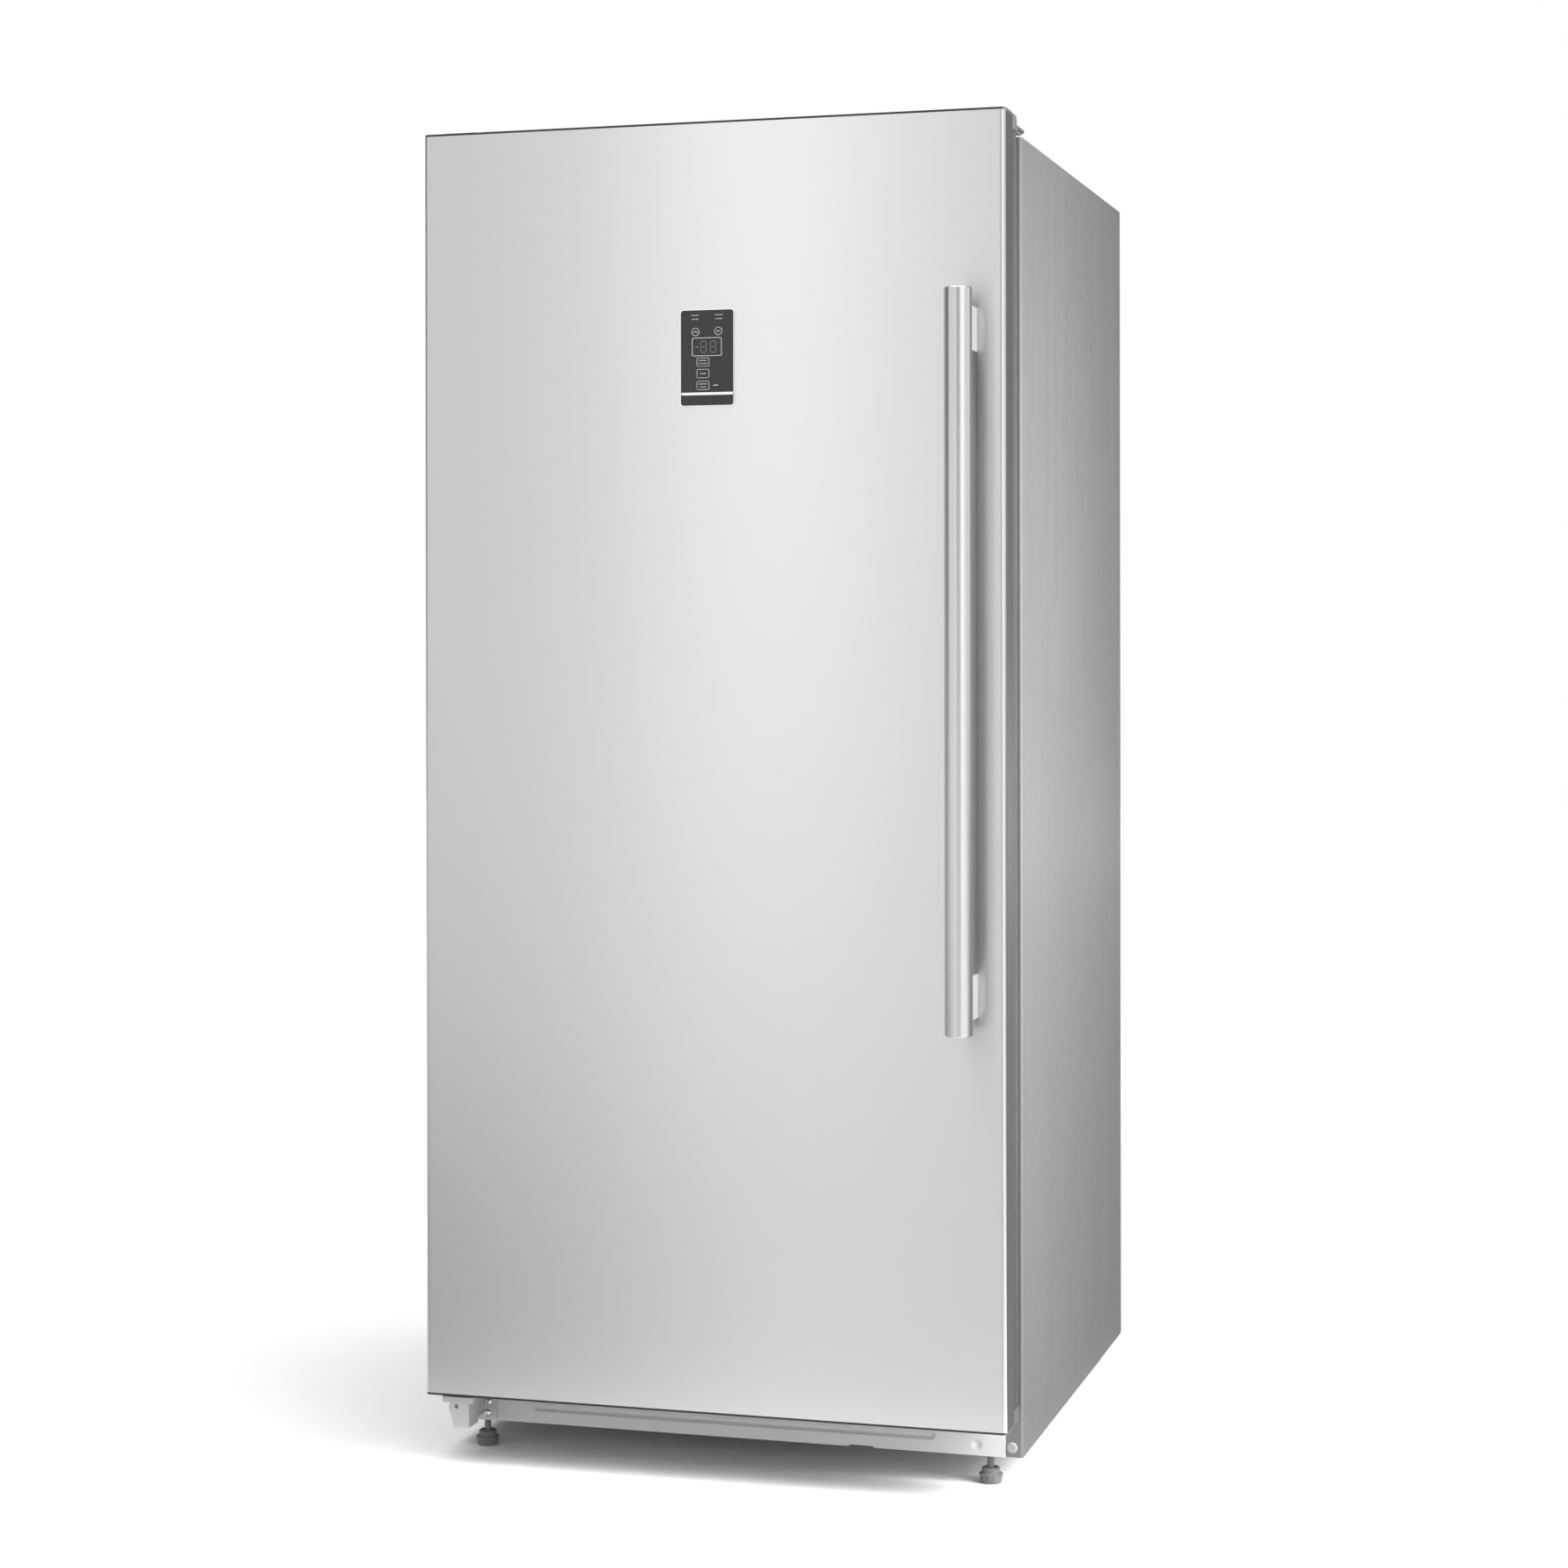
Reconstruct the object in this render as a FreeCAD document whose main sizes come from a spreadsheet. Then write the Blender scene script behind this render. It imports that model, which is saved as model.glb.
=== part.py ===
import FreeCAD, Part
import math
import os
import re
import Sketcher

# Upright convertible freezer, single door hinged on the left, millimetres.
# +X is to the viewer's right, -Y is towards the viewer and the floor is Z = 0.
# The origin is the middle of the footprint.

DOC = FreeCAD.newDocument("upright_freezer")
TINY = 1e-6

DIMENSIONS = {
    # case
    "case_width": 711,
    "case_front": -263,
    "case_depth": 672,
    "case_bottom": 33.5,
    "case_top": 1571.4,
    "sheet": 0.8,
    "plate_thick": 3,
    "case_bend": 3,
    "case_corner": 9,
    "front_flange": 50,
    "rear_flange": 18,
    "plug_radius": 6.5,
    "plug_out": 342.5,
    "plug_height": 44.6,
    "plug_dome": 2,
    # foam, liner and machine bay
    "liner_wall": 2,
    "liner_round": 14,
    "side_foam": 57.2,
    "top_foam": 57.2,
    "back_foam": 58,
    "deck_height": 75,
    "deck_plate": 1.2,
    "deck_foam": 53.8,
    "bay_front": 150,
    "bay_top": 290,
    "bay_foam": 50,
    "liner_flange": 20,
    # bottom front
    "beam_half": 335,
    "beam_bottom": 33,
    "beam_top": 79,
    "beam_sheet": 1.2,
    "beam_return": 14,
    "rib_half": 250,
    "rib_low": 48.6,
    "rib_high": 57.6,
    "rib_depth": 1,
    "dimple_x": 301,
    "dimple_z": 45.6,
    "dimple_radius": 6.2,
    "notch_low": 146,
    "notch_high": 176,
    "notch_rise": 2,
    "sill_top": 128,
    "rail_depth": 46,
    "rail_low": 40,
    "rail_plate": 3,
    # feet
    "foot_x": 315,
    "foot_y": -252,
    "stem_radius": 3.95,
    "thread_radius": 4,
    "stem_top": 66,
    "collar_radius": 10.8,
    "skirt_radius": 14.2,
    "sole_radius": 12.6,
    "skirt_top": 10.5,
    "collar_low": 12.4,
    "collar_top": 18,
    "nut_radius": 8,
    "nut_height": 7,
    # rear rollers
    "roller_x": 300,
    "roller_y": 366,
    "roller_radius": 20,
    "roller_half": 9,
    "hub_radius": 9,
    "axle_radius": 3,
    "bearing_gap": 0.06,
    "cheek_half": 12,
    "bracket_half": 15,
    "bracket_sheet": 2,
    "bracket_low": 12,
    # base tray and machines
    "tray_low": 45,
    "tray_plate": 1.5,
    "tray_lip": 18,
    "tray_front": 160,
    "grommet_radius": 11,
    "grommet_height": 12,
    "pot_x": -150,
    "pot_y": 282,
    "pot_radius": 78,
    "pot_height": 165,
    "pot_flange": 6,
    "foot_plate": 3,
    "foot_reach": 88,
    # door
    "door_front": -353,
    "door_low": 82,
    "door_top": 1592,
    "skin_return": 40,
    "skin_lip": 12,
    "skin_bend": 6.5,
    "cap_edge": 2.5,
    "cap_height": 17,
    "door_rear": -285,
    "cap_inset": 1,
    "liner_inset": 2,
    "dike_height": 8,
    "dike_out": 300,
    "dike_in": 262,
    "dike_low": 140,
    "dike_high": 1500,
    "lip_left": -230,
    "lip_rear": -241,
    "lip_clear": 2,
    "lip_thick": 8.6,
    "lip_hollow": 10,
    # gasket
    "gasket_out": 325,
    "gasket_width": 22,
    "gasket_low": 103,
    "gasket_high": 1541,
    "gasket_gap": 0.4,
    # hinges
    "pivot_x": -326,
    "pivot_y": -315,
    "pin_radius": 4,
    "bush_gap": 0.06,
    "bush_radius": 7,
    "bush_depth": 15,
    "collar_gap": 0.3,
    "pin_depth": 13,
    "arm_left": -343.5,
    "arm_right": -302.2,
    "arm_front": -333,
    "arm_low": 68.8,
    "arm_top": 75.6,
    "arm_round": 5,
    "strut_left": -328.7,
    "strut_right": -308.2,
    "strut_low": 39.2,
    "strut_front": -331.5,
    "bevel_left": -333.5,
    "bevel_top": 59,
    "hinge_plate_right": -298,
    "hinge_plate_low": 33.4,
    "hinge_plate_round": 5,
    "hinge_plate": 3,
    "strut_wall": 3,
    "strut_hole": 2.6,
    "strut_waist": -318,
    "waist_front": -298,
    "hinge_screw_x": -309,
    "hinge_screw_high": 55.5,
    "hinge_screw_low": 41.8,
    "top_arm_left": -348,
    "top_arm_right": -290,
    "top_arm_front": -331,
    "top_arm_low": 1593.2,
    "top_arm_round": 14,
    "top_riser": -258,
    "top_base_rear": -172,
    "screw_radius": 2.5,
    "screw_head": 5,
    "screw_height": 3,
    "cover_left": -352,
    "cover_right": -270,
    "cover_front": -262,
    "cover_rear": -150,
    "cover_top": 1606,
    "cover_wall": 2,
    "cover_round": 6,
    # handle
    "bar_x": 312,
    "bar_radius": 15.9,
    "bar_wall": 1.5,
    "bar_stand": 52,
    "bar_low": 541,
    "bar_high": 1382.5,
    "bar_end": 3,
    "bar_round": 1.2,
    "post_half": 10.5,
    "post_tall": 50,
    "post_low": 556,
    "post_high": 1314,
    "stud_radius": 4,
    "stud_length": 16,
    # control panel
    "panel_left": -32.6,
    "panel_right": 33.8,
    "panel_low": 1259,
    "panel_high": 1372.4,
    "panel_round": 4,
    "panel_proud": 1,
    "panel_back": 1.2,
    "rim": 1,
    "window_inset": 3,
    "housing_depth": 24,
    "housing_wall": 2,
    "board_inset": 5,
    "board": 1.6,
    # shelves, basket, bins and duct
    "shelf_front": -198,
    "shelf_rear": 250,
    "shelf_half": 286,
    "shelf_glass": 4,
    "shelf_first": 430,
    "shelf_pitch": 265,
    "shelf_trim": 12,
    "ledge_height": 9,
    "basket_half": 268,
    "basket_front": -205,
    "basket_rear": 86,
    "basket_low": 146,
    "basket_high": 318,
    "basket_wall": 2.5,
    "basket_round": 16,
    "runner_height": 10,
    "runner_low": 262,
    "runner_gap": 1,
    "bin_half": 228,
    "bin_deep": 68,
    "bin_tall": 92,
    "bin_wall": 2.4,
    "bin_round": 10,
    "bin_first": 190,
    "bin_pitch": 268,
    "duct_half": 277,
    "duct_front": 262,
    "duct_low": 344,
    "duct_high": 1508,
    "duct_wall": 2,
    "duct_slot": 8,
    "duct_slot_half": 70,
    "duct_slot_pitch": 22,
    "coil_half": 240,
    "coil_low": 380,
    "coil_high": 640,
    "coil_front": 280,
    "coil_rear": 336,
    "fin": 0.8,
    "coil_tube": 4,
    "lamp_half": 62,
    "lamp_front": -170,
    "lamp_rear": -118,
    "lamp_deep": 9,
    # fans
    "fan_z": 800,
    "fan_y": 300,
    "fan_radius": 52,
    "fan_hub": 16,
    "fan_deep": 18,
    "fan_shaft": 1.5,
    "motor_radius": 19,
    "motor_deep": 20,
    "bay_fan_x": 30,
    "bay_fan_y": 282,
    "bay_fan_z": 160,
    "bay_fan_radius": 68,
    "shroud_half": 78,
    "shroud_deep": 8,
    "shroud_gap": 3,
    # condenser, pan and rear
    "rack_left": 92,
    "rack_right": 190,
    "rack_half_y": 78,
    "rack_low": 88,
    "rack_high": 232,
    "rack_tube": 3,
    "pan_left": 205,
    "pan_right": 275,
    "pan_half_y": 90,
    "pan_high": 100,
    "grille_low": 50,
    "grille_high": 286,
    "grille_half": 335,
    "grille_plate": 1.2,
    "slot_width": 5,
    "slot_pitch": 14,
    "bumper_x": 250,
    "bumper_z": 1450,
    "bumper_depth": 12.7,
    "bumper_radius": 14,
    "gland_x": 275,
    "gland_z": 70,
    "gland_radius": 9,
    "gland_bore": 4,
    "board_box_x": -60,
    "board_box_z": 1120,
    "board_box_half": 105,
    "board_box_proud": 9,
    "back_rib_half": 6,
    "back_rib_proud": 3,
    "back_rib_x": 210,
    "back_rib_low": 380,
    "back_rib_high": 1500,
}

SHEET = DOC.addObject("Spreadsheet::Sheet", "dims")
for row, (alias, value) in enumerate(DIMENSIONS.items(), 1):
    SHEET.set(f"A{row}", alias)
    SHEET.set(f"B{row}", str(value))
    SHEET.setAlias(f"B{row}", alias)
DOC.recompute()

# places that several sub-parts share, worked out from the driving dimensions
HALF = "case_width / 2"
CASE_BACK = "case_front + case_depth"
PANEL_BACK = f"{CASE_BACK} - sheet"
PANEL_FRONT = f"{CASE_BACK} - 2 * sheet"
RING_BACK = "case_front + sheet"
ROOM_HALF = f"{HALF} - sheet - side_foam - liner_wall"
ROOM_BACK = f"{PANEL_FRONT} - back_foam - liner_wall"
ROOM_LOW = "deck_height + deck_plate + deck_foam + liner_wall"
ROOM_TOP = "case_top - sheet - top_foam - liner_wall"
STEP_FRONT = "bay_front - bay_foam"
STEP_TOP = "bay_top + deck_plate + bay_foam + liner_wall"
SKIN_BACK = "door_front + skin_return"
BAR_Y = "door_front - bar_stand"
GASKET_BACK = "case_front - gasket_gap"

# how many of each repeated shape
SHELVES = range(4)
BIN_COUNT = 5
BLADE_COUNT = 5
FOOT_SIDES = 12
FIN_COUNT = 25
COIL_ROWS, COIL_COLUMNS = 6, 2
RACK_ROWS, RACK_COLUMNS = 6, 5
GRILLE_ROWS, GRILLE_COLUMNS = 12, 3
DUCT_SLOT_ROWS = 3
CAP_RIBS = 3
CORNER_STEPS = 6

SUBPARTS = []


# ---------------------------------------------------------------- helpers

def bind(expression):
    """An expression with every alias pointed at the dimension sheet."""
    return re.sub(r"[a-z_]+", lambda word: f"dims.{word.group()}" if word.group() in DIMENSIONS
                  else word.group(), expression)


def value(expression):
    """The number that an expression over the dimension sheet gives, for shapes set in code."""
    names = {alias: getattr(SHEET, alias) for alias in DIMENSIONS}
    total = re.sub(r"[a-z_]+", lambda word: repr(float(names[word.group()])), expression)
    return float(FreeCAD.Units.Quantity(f"({total})").Value)


def keep(solid):
    """Put a finished sub-part on the list of those that are written."""
    SUBPARTS.append(solid)
    return solid


def out(side, near, far):
    """The X range from near to far, measured outwards on one side (-1 left, 1 right)."""
    return (near, far) if side > 0 else (f"-({far})", f"-({near})")


def box(label, across, deep, tall):
    """A block between three ranges of expressions."""
    solid = DOC.addObject("Part::Box", label)
    for axis, size, (low, high) in zip("xyz", ("Length", "Width", "Height"), (across, deep, tall)):
        solid.setExpression(size, bind(f"({high}) - ({low})"))
        solid.setExpression(f"Placement.Base.{axis}", bind(low))
    return solid


TURNS = {
    "X": FreeCAD.Rotation(FreeCAD.Vector(0, 1, 0), 90),
    "Y": FreeCAD.Rotation(FreeCAD.Vector(1, 0, 0), -90),
    "Z": FreeCAD.Rotation(),
    "-Y": FreeCAD.Rotation(FreeCAD.Vector(1, 0, 0), 90),
}


def place(solid, base, axis="Z"):
    """Turn a solid's own +Z along an axis and move it to a base point of expressions."""
    solid.Placement = FreeCAD.Placement(FreeCAD.Vector(), TURNS[axis])
    for name, expression in zip("xyz", base):
        solid.setExpression(f"Placement.Base.{name}", bind(expression))
    return solid


def rod(label, radius, length, base, axis="Z"):
    """A cylinder that starts at base and runs along +axis."""
    solid = DOC.addObject("Part::Cylinder", label)
    solid.setExpression("Radius", bind(radius))
    solid.setExpression("Height", bind(length))
    return place(solid, base, axis)


def cut(label, base, tool):
    solid = DOC.addObject("Part::Cut", label)
    solid.Base = base
    solid.Tool = tool
    return solid


def fuse(label, members):
    solid = DOC.addObject("Part::MultiFuse", label)
    solid.Shapes = members
    return solid


def group(label, members):
    """Several equal, separate solids that share one sub-part."""
    solid = DOC.addObject("Part::Compound", label)
    solid.Links = members
    return solid


PLANES = {"XY": 1, "XZ": -1, "YZ": 1}


def new_body(label):
    return DOC.addObject("PartDesign::Body", label)


def sketch_on(body, plane, level):
    """An empty sketch on one of the body's origin planes, moved to a level along its axis."""
    origin = [item for item in body.Origin.OriginFeatures if item.Role == f"{plane}_Plane"][0]
    drawing = body.newObject("Sketcher::SketchObject", f"{body.Label}_sketch")
    drawing.AttachmentSupport = [(origin, "")]
    drawing.MapMode = "FlatFace"
    drawing.setExpression("AttachmentOffset.Base.z", bind(f"{PLANES[plane]} * ({level})"))
    return drawing


def pin_point(drawing, curve, end, point):
    """Fix a sketch point at a pair of expressions."""
    for kind, expression in zip(("DistanceX", "DistanceY"), point):
        constraint = Sketcher.Constraint(kind, -1, 1, curve, end, value(expression))
        index = drawing.addConstraint(constraint)
        drawing.setExpression(f"Constraints[{index}]", bind(expression))


def draw_polygon(drawing, points):
    corners = [FreeCAD.Vector(value(first), value(second), 0) for first, second in points]
    count = len(corners)
    for index in range(count):
        line = Part.LineSegment(corners[index], corners[(index + 1) % count])
        drawing.addGeometry(line, False)
    for index in range(count):
        follower = (index + 1) % count
        drawing.addConstraint(Sketcher.Constraint("Coincident", index, 2, follower, 1))
        pin_point(drawing, index, 1, points[index])


def draw_circle(drawing, centre, radius):
    middle = FreeCAD.Vector(value(centre[0]), value(centre[1]), 0)
    curve = drawing.addGeometry(Part.Circle(middle, FreeCAD.Vector(0, 0, 1), value(radius)), False)
    pin_point(drawing, curve, 3, centre)
    index = drawing.addConstraint(Sketcher.Constraint("Radius", curve, value(radius)))
    drawing.setExpression(f"Constraints[{index}]", bind(radius))


def rectangle(first, second):
    """The corners of a rectangle from two ranges."""
    return [(first[0], second[0]), (first[1], second[0]), (first[1], second[1]), (first[0], second[1])]


def extrude(body, kind, plane, draw, span):
    """A pad or pocket of what draw puts in a sketch, over a range along the plane's axis."""
    low, high = span if PLANES[plane] > 0 else (span[1], span[0])
    drawing = sketch_on(body, plane, low if kind == "Pad" else high)
    draw(drawing)
    feature = body.newObject(f"PartDesign::{kind}", f"{body.Label}_{kind.lower()}")
    feature.Profile = drawing
    feature.setExpression("Length", bind(f"({span[1]}) - ({span[0]})"))
    return feature


def pad(body, plane, points, span):
    return extrude(body, "Pad", plane, lambda drawing: draw_polygon(drawing, points), span)


def pocket(body, plane, points, span):
    return extrude(body, "Pocket", plane, lambda drawing: draw_polygon(drawing, points), span)


def bore(body, plane, centre, radius, span):
    return extrude(body, "Pocket", plane, lambda drawing: draw_circle(drawing, centre, radius), span)


def prism(label, plane, points, span):
    """A new body made by one pad."""
    body = new_body(label)
    pad(body, plane, points, span)
    return body


def runs_along(edge, axis):
    """Whether a straight edge runs along X, Y or Z."""
    if not isinstance(edge.Curve, Part.Line):
        return False
    direction = edge.tangentAt(edge.FirstParameter)
    return abs(abs(getattr(direction, axis.lower())) - 1) < TINY


def round_edges(body, axis, radius, where=lambda point: True):
    """Fillet the body's straight edges along an axis whose middles pass a test."""
    DOC.recompute()
    names = [f"Edge{index}" for index, edge in enumerate(body.Shape.Edges, 1)
             if runs_along(edge, axis) and where(edge.CenterOfMass)]
    feature = body.newObject("PartDesign::Fillet", f"{body.Label}_fillet")
    feature.Base = (body.Group[-2], names)
    feature.setExpression("Radius", bind(radius))
    return feature


def shell(body, wall, open_face):
    """Hollow the body inwards, leaving out the faces whose outward normals pass a test."""
    DOC.recompute()
    names = [f"Face{index}" for index, face in enumerate(body.Shape.Faces, 1)
             if open_face(face)]
    feature = body.newObject("PartDesign::Thickness", f"{body.Label}_shell")
    feature.Base = (body.Group[-2], names)
    feature.setExpression("Value", bind(wall))
    feature.Reversed = True
    return feature


def faces(direction):
    """A test for flat faces that look along a direction."""
    def test(face):
        if not isinstance(face.Surface, Part.Plane):
            return False
        return face.normalAt(0, 0).dot(direction) > 1 - TINY
    return test


UP = FreeCAD.Vector(0, 0, 1)
DOWN = FreeCAD.Vector(0, 0, -1)
FORWARD = FreeCAD.Vector(0, -1, 0)
BACKWARD = FreeCAD.Vector(0, 1, 0)


def lathe(label, points, base, axis="Z"):
    """A body turned from an outline of (radius, height), with its own axis moved to base."""
    body = new_body(label)
    drawing = sketch_on(body, "XZ", "0")
    draw_polygon(drawing, points)
    feature = body.newObject("PartDesign::Revolution", f"{label}_turning")
    feature.Profile = drawing
    feature.ReferenceAxis = (drawing, ["V_Axis"])
    feature.Angle = 360
    return place(body, base, axis)


def near(number, expression):
    return abs(number - value(expression)) < 0.01


# ---------------------------------------------------------------- case

def side_panel(side, label):
    """A steel side with a wide front flange for the gasket and a narrow rear flange."""
    def at(distance):
        return f"{side} * ({distance})"

    outline = [
        (at(f"{HALF} - front_flange"), "case_front"),
        (at(HALF), "case_front"),
        (at(HALF), CASE_BACK),
        (at(f"{HALF} - rear_flange"), CASE_BACK),
        (at(f"{HALF} - rear_flange"), PANEL_BACK),
        (at(f"{HALF} - sheet"), PANEL_BACK),
        (at(f"{HALF} - sheet"), RING_BACK),
        (at(f"{HALF} - front_flange"), RING_BACK),
    ]
    body = prism(label, "XY", outline, ("case_bottom", "case_top"))
    round_edges(body, "Z", "case_bend", lambda point: near(abs(point.x), HALF))
    round_edges(body, "Z", "case_bend - sheet", lambda point: near(abs(point.x), f"{HALF} - sheet"))
    bore(body, "XZ", (at("plug_out"), "plug_height"), "plug_radius - 1.5",
         ("case_front - sheet", "case_front + 2 * sheet"))
    inner, outer = f"{HALF} - front_flange", f"{HALF} + 1"
    pocket(body, "YZ", rear_corner(), (at(outer), at(inner)) if side < 0 else (inner, outer))
    return keep(body)


def rear_corner():
    """The outline that trims the side's lower rear corner to a round."""
    outline = [(f"{CASE_BACK} - case_corner", "case_bottom - 1"), (f"{CASE_BACK} + 1", "case_bottom - 1"),
               (f"{CASE_BACK} + 1", "case_bottom + case_corner")]
    for step in range(CORNER_STEPS + 1):
        angle = math.radians(90 * step / CORNER_STEPS)
        back, low = 1 - math.cos(angle), 1 - math.sin(angle)
        outline.append((f"{CASE_BACK} - case_corner * {back:.5f}", f"case_bottom + case_corner * {low:.5f}"))
    return outline


def hole_plug():
    """A domed plug in the unused hinge hole of the right flange."""
    outline = [("0", "-2 * sheet"), ("plug_radius - 1.5", "-2 * sheet"), ("plug_radius - 1.5", "0"),
               ("plug_radius", "0"), ("plug_radius", "plug_dome / 3"),
               ("plug_radius - 1.5", "plug_dome"), ("0", "plug_dome")]
    return keep(lathe("hinge_hole_plug", outline, ("plug_out", "case_front", "plug_height"), "-Y"))


def top_panel():
    inner = f"{HALF} - sheet"
    body = prism("top_panel", "XY", rectangle((f"-({inner})", inner), (RING_BACK, PANEL_BACK)),
                 ("case_top - sheet", "case_top"))
    pad(body, "XZ", rectangle((f"-({HALF} - front_flange)", f"{HALF} - front_flange"),
                              (f"{ROOM_TOP} + liner_wall", "case_top")),
        ("case_front", RING_BACK))
    return keep(body)


def back_panel():
    """The flat back with two upright stiffening ribs."""
    inner = f"{HALF} - case_bend"
    body = prism("back_panel", "XZ", rectangle((f"-({inner})", inner), ("bay_top + deck_plate",
                                                                        "case_top - sheet")),
                 (PANEL_FRONT, PANEL_BACK))
    for middle in ("-back_rib_x", "back_rib_x"):
        pad(body, "XZ", rectangle((f"{middle} - back_rib_half", f"{middle} + back_rib_half"),
                                  ("back_rib_low", "back_rib_high")),
            (PANEL_BACK, f"{PANEL_BACK} + back_rib_proud"))
    return keep(body)


def machine_bay_plate():
    """One bent sheet: the sill that the lower gasket seals on, the deck under the foam, the riser
    and the roof of the machine bay."""
    outline = [
        (RING_BACK, "deck_height"),
        ("bay_front + deck_plate", "deck_height"),
        ("bay_front + deck_plate", "bay_top"),
        (PANEL_BACK, "bay_top"),
        (PANEL_BACK, "bay_top + deck_plate"),
        ("bay_front", "bay_top + deck_plate"),
        ("bay_front", "deck_height + deck_plate"),
        (RING_BACK, "deck_height + deck_plate"),
    ]
    inner = f"{HALF} - sheet"
    body = prism("machine_bay_plate", "YZ", outline, (f"-({inner})", inner))
    between = f"{HALF} - front_flange"
    pad(body, "XZ", rectangle((f"-({between})", between), ("deck_height", "sill_top")),
        ("case_front", RING_BACK))
    return keep(body)


def toe_beam():
    """The painted cross beam under the door, with a pressed groove, a dimple and a drain notch."""
    front = "case_front - beam_sheet"
    body = prism("toe_beam", "XZ", rectangle(("-beam_half", "beam_half"), ("beam_bottom", "beam_top")),
                 (front, "case_front"))
    inner = f"{HALF} - front_flange - 1"
    pad(body, "XZ", rectangle((f"-({inner})", inner), ("beam_bottom", "beam_bottom + beam_sheet")),
        ("case_front", "case_front + beam_return"))
    pad(body, "XZ", rectangle(("-rib_half - 3", "rib_half + 3"), ("rib_low - 1", "rib_high + 1")),
        ("case_front", "case_front + rib_depth"))
    pocket(body, "XZ", rectangle(("-rib_half", "rib_half"), ("rib_low", "rib_high")),
           (front, f"{front} + rib_depth"))
    round_edges(body, "Y", "rib_high / 2 - rib_low / 2 - 0.5",
                lambda point: near(abs(point.x), "rib_half") and point.y < value("case_front"))
    bore(body, "XZ", ("dimple_x", "dimple_z"), "dimple_radius", (front, f"{front} + rib_depth / 2"))
    pocket(body, "XZ", rectangle(("notch_low", "notch_high"), ("beam_bottom", "beam_bottom + notch_rise")),
           (front, "case_front + beam_return"))
    return keep(body)


def front_base_rail():
    """The channel behind the toe beam that carries the two levelling feet."""
    inner = f"{HALF} - sheet - 1"
    low, high = "rail_low", "rail_low + rail_plate"
    start = "case_front + 2"
    body = prism("front_base_rail", "XY", rectangle((f"-({inner})", inner),
                                                    (start, f"{start} + rail_depth")), (low, high))
    pad(body, "XZ", rectangle((f"-({inner})", inner), (low, "deck_height")),
        (f"{start} + rail_depth", f"{start} + rail_depth + rail_plate"))
    for side in (-1, 1):
        bore(body, "XY", (f"{side} * foot_x", "foot_y"), "thread_radius + 1", (low, high))
    return keep(body)


def weld_nuts():
    """The threaded nuts on the base rail, one for each front foot."""
    base = "rail_low + rail_plate"
    nuts = []
    for side in (-1, 1):
        nut = lathe(f"weld_nut_{side + 1}", rectangle(("thread_radius", "nut_radius"), ("0", "nut_height")),
                    (f"{side} * foot_x", "foot_y", base))
        nuts.append(nut)
    return keep(group("foot_weld_nuts", nuts))


def foam_insulation():
    """The poured foam between the case and the liner, one block with the liner's shape cut out."""
    start = f"{RING_BACK} + liner_wall"
    outline = [
        (start, "deck_height + deck_plate"),
        ("bay_front", "deck_height + deck_plate"),
        ("bay_front", "bay_top + deck_plate"),
        (PANEL_FRONT, "bay_top + deck_plate"),
        (PANEL_FRONT, "case_top - sheet"),
        (start, "case_top - sheet"),
    ]
    inner = f"{HALF} - sheet"
    block = prism("foam_block", "YZ", outline, (f"-({inner})", inner))
    round_edges(block, "Z", "case_bend - sheet", lambda point: near(point.y, PANEL_FRONT))
    return keep(cut("foam_insulation", block, liner_block("foam_core", "liner_wall", RING_BACK)))


def liner_block(label, grow, front):
    """The food compartment as a solid, with its rear step over the machine bay."""
    outline = [
        (front, f"{ROOM_LOW} - {grow}"),
        (f"{STEP_FRONT} + {grow}", f"{ROOM_LOW} - {grow}"),
        (f"{STEP_FRONT} + {grow}", f"{STEP_TOP} - {grow}"),
        (f"{ROOM_BACK} + {grow}", f"{STEP_TOP} - {grow}"),
        (f"{ROOM_BACK} + {grow}", f"{ROOM_TOP} + {grow}"),
        (front, f"{ROOM_TOP} + {grow}"),
    ]
    body = prism(label, "YZ", outline, (f"-({ROOM_HALF} + {grow})", f"{ROOM_HALF} + {grow}"))
    round_edges(body, "Y", f"liner_round + {grow}",
                lambda point: point.y < value(STEP_FRONT) or point.z > value(STEP_TOP) + 100)
    return body


def inner_liner():
    """The white moulded compartment wall and its flange behind the steel front ring."""
    outer = liner_block("liner_outer", "liner_wall", RING_BACK)
    flange = box("liner_flange_plate",
                 (f"-({ROOM_HALF} + liner_flange)", f"{ROOM_HALF} + liner_flange"),
                 (RING_BACK, f"{RING_BACK} + liner_wall"),
                 (f"{ROOM_LOW} - liner_flange", f"{ROOM_TOP} + liner_flange"))
    inner = liner_block("liner_inner", "0", "case_front - 10")
    return keep(cut("inner_liner", fuse("liner_solid", [outer, flange]), inner))


def rear_bumpers():
    members = []
    for side in (-1, 1):
        outline = [("0", "0"), ("bumper_radius", "0"), ("bumper_radius - 3", "bumper_depth"),
                   ("0", "bumper_depth")]
        members.append(lathe(f"bumper_{side + 1}", outline,
                             (f"{side} * bumper_x", PANEL_BACK, "bumper_z"), "Y"))
    return keep(group("rear_bumpers", members))


def main_board_cover():
    """The shallow plastic cover over the main electronics on the back."""
    middle, half = "board_box_x", "board_box_half"
    body = prism("main_board_cover", "XZ",
                 rectangle((f"{middle} - {half}", f"{middle} + {half}"),
                           (f"board_box_z - {half} * 0.7", f"board_box_z + {half} * 0.7")),
                 (PANEL_BACK, f"{PANEL_BACK} + board_box_proud"))
    round_edges(body, "Y", "cover_round")
    shell(body, "cover_wall", faces(FORWARD))
    return keep(body)


# ---------------------------------------------------------------- compartment

def shelf_level(number):
    return f"shelf_first + {number} * shelf_pitch"


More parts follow.
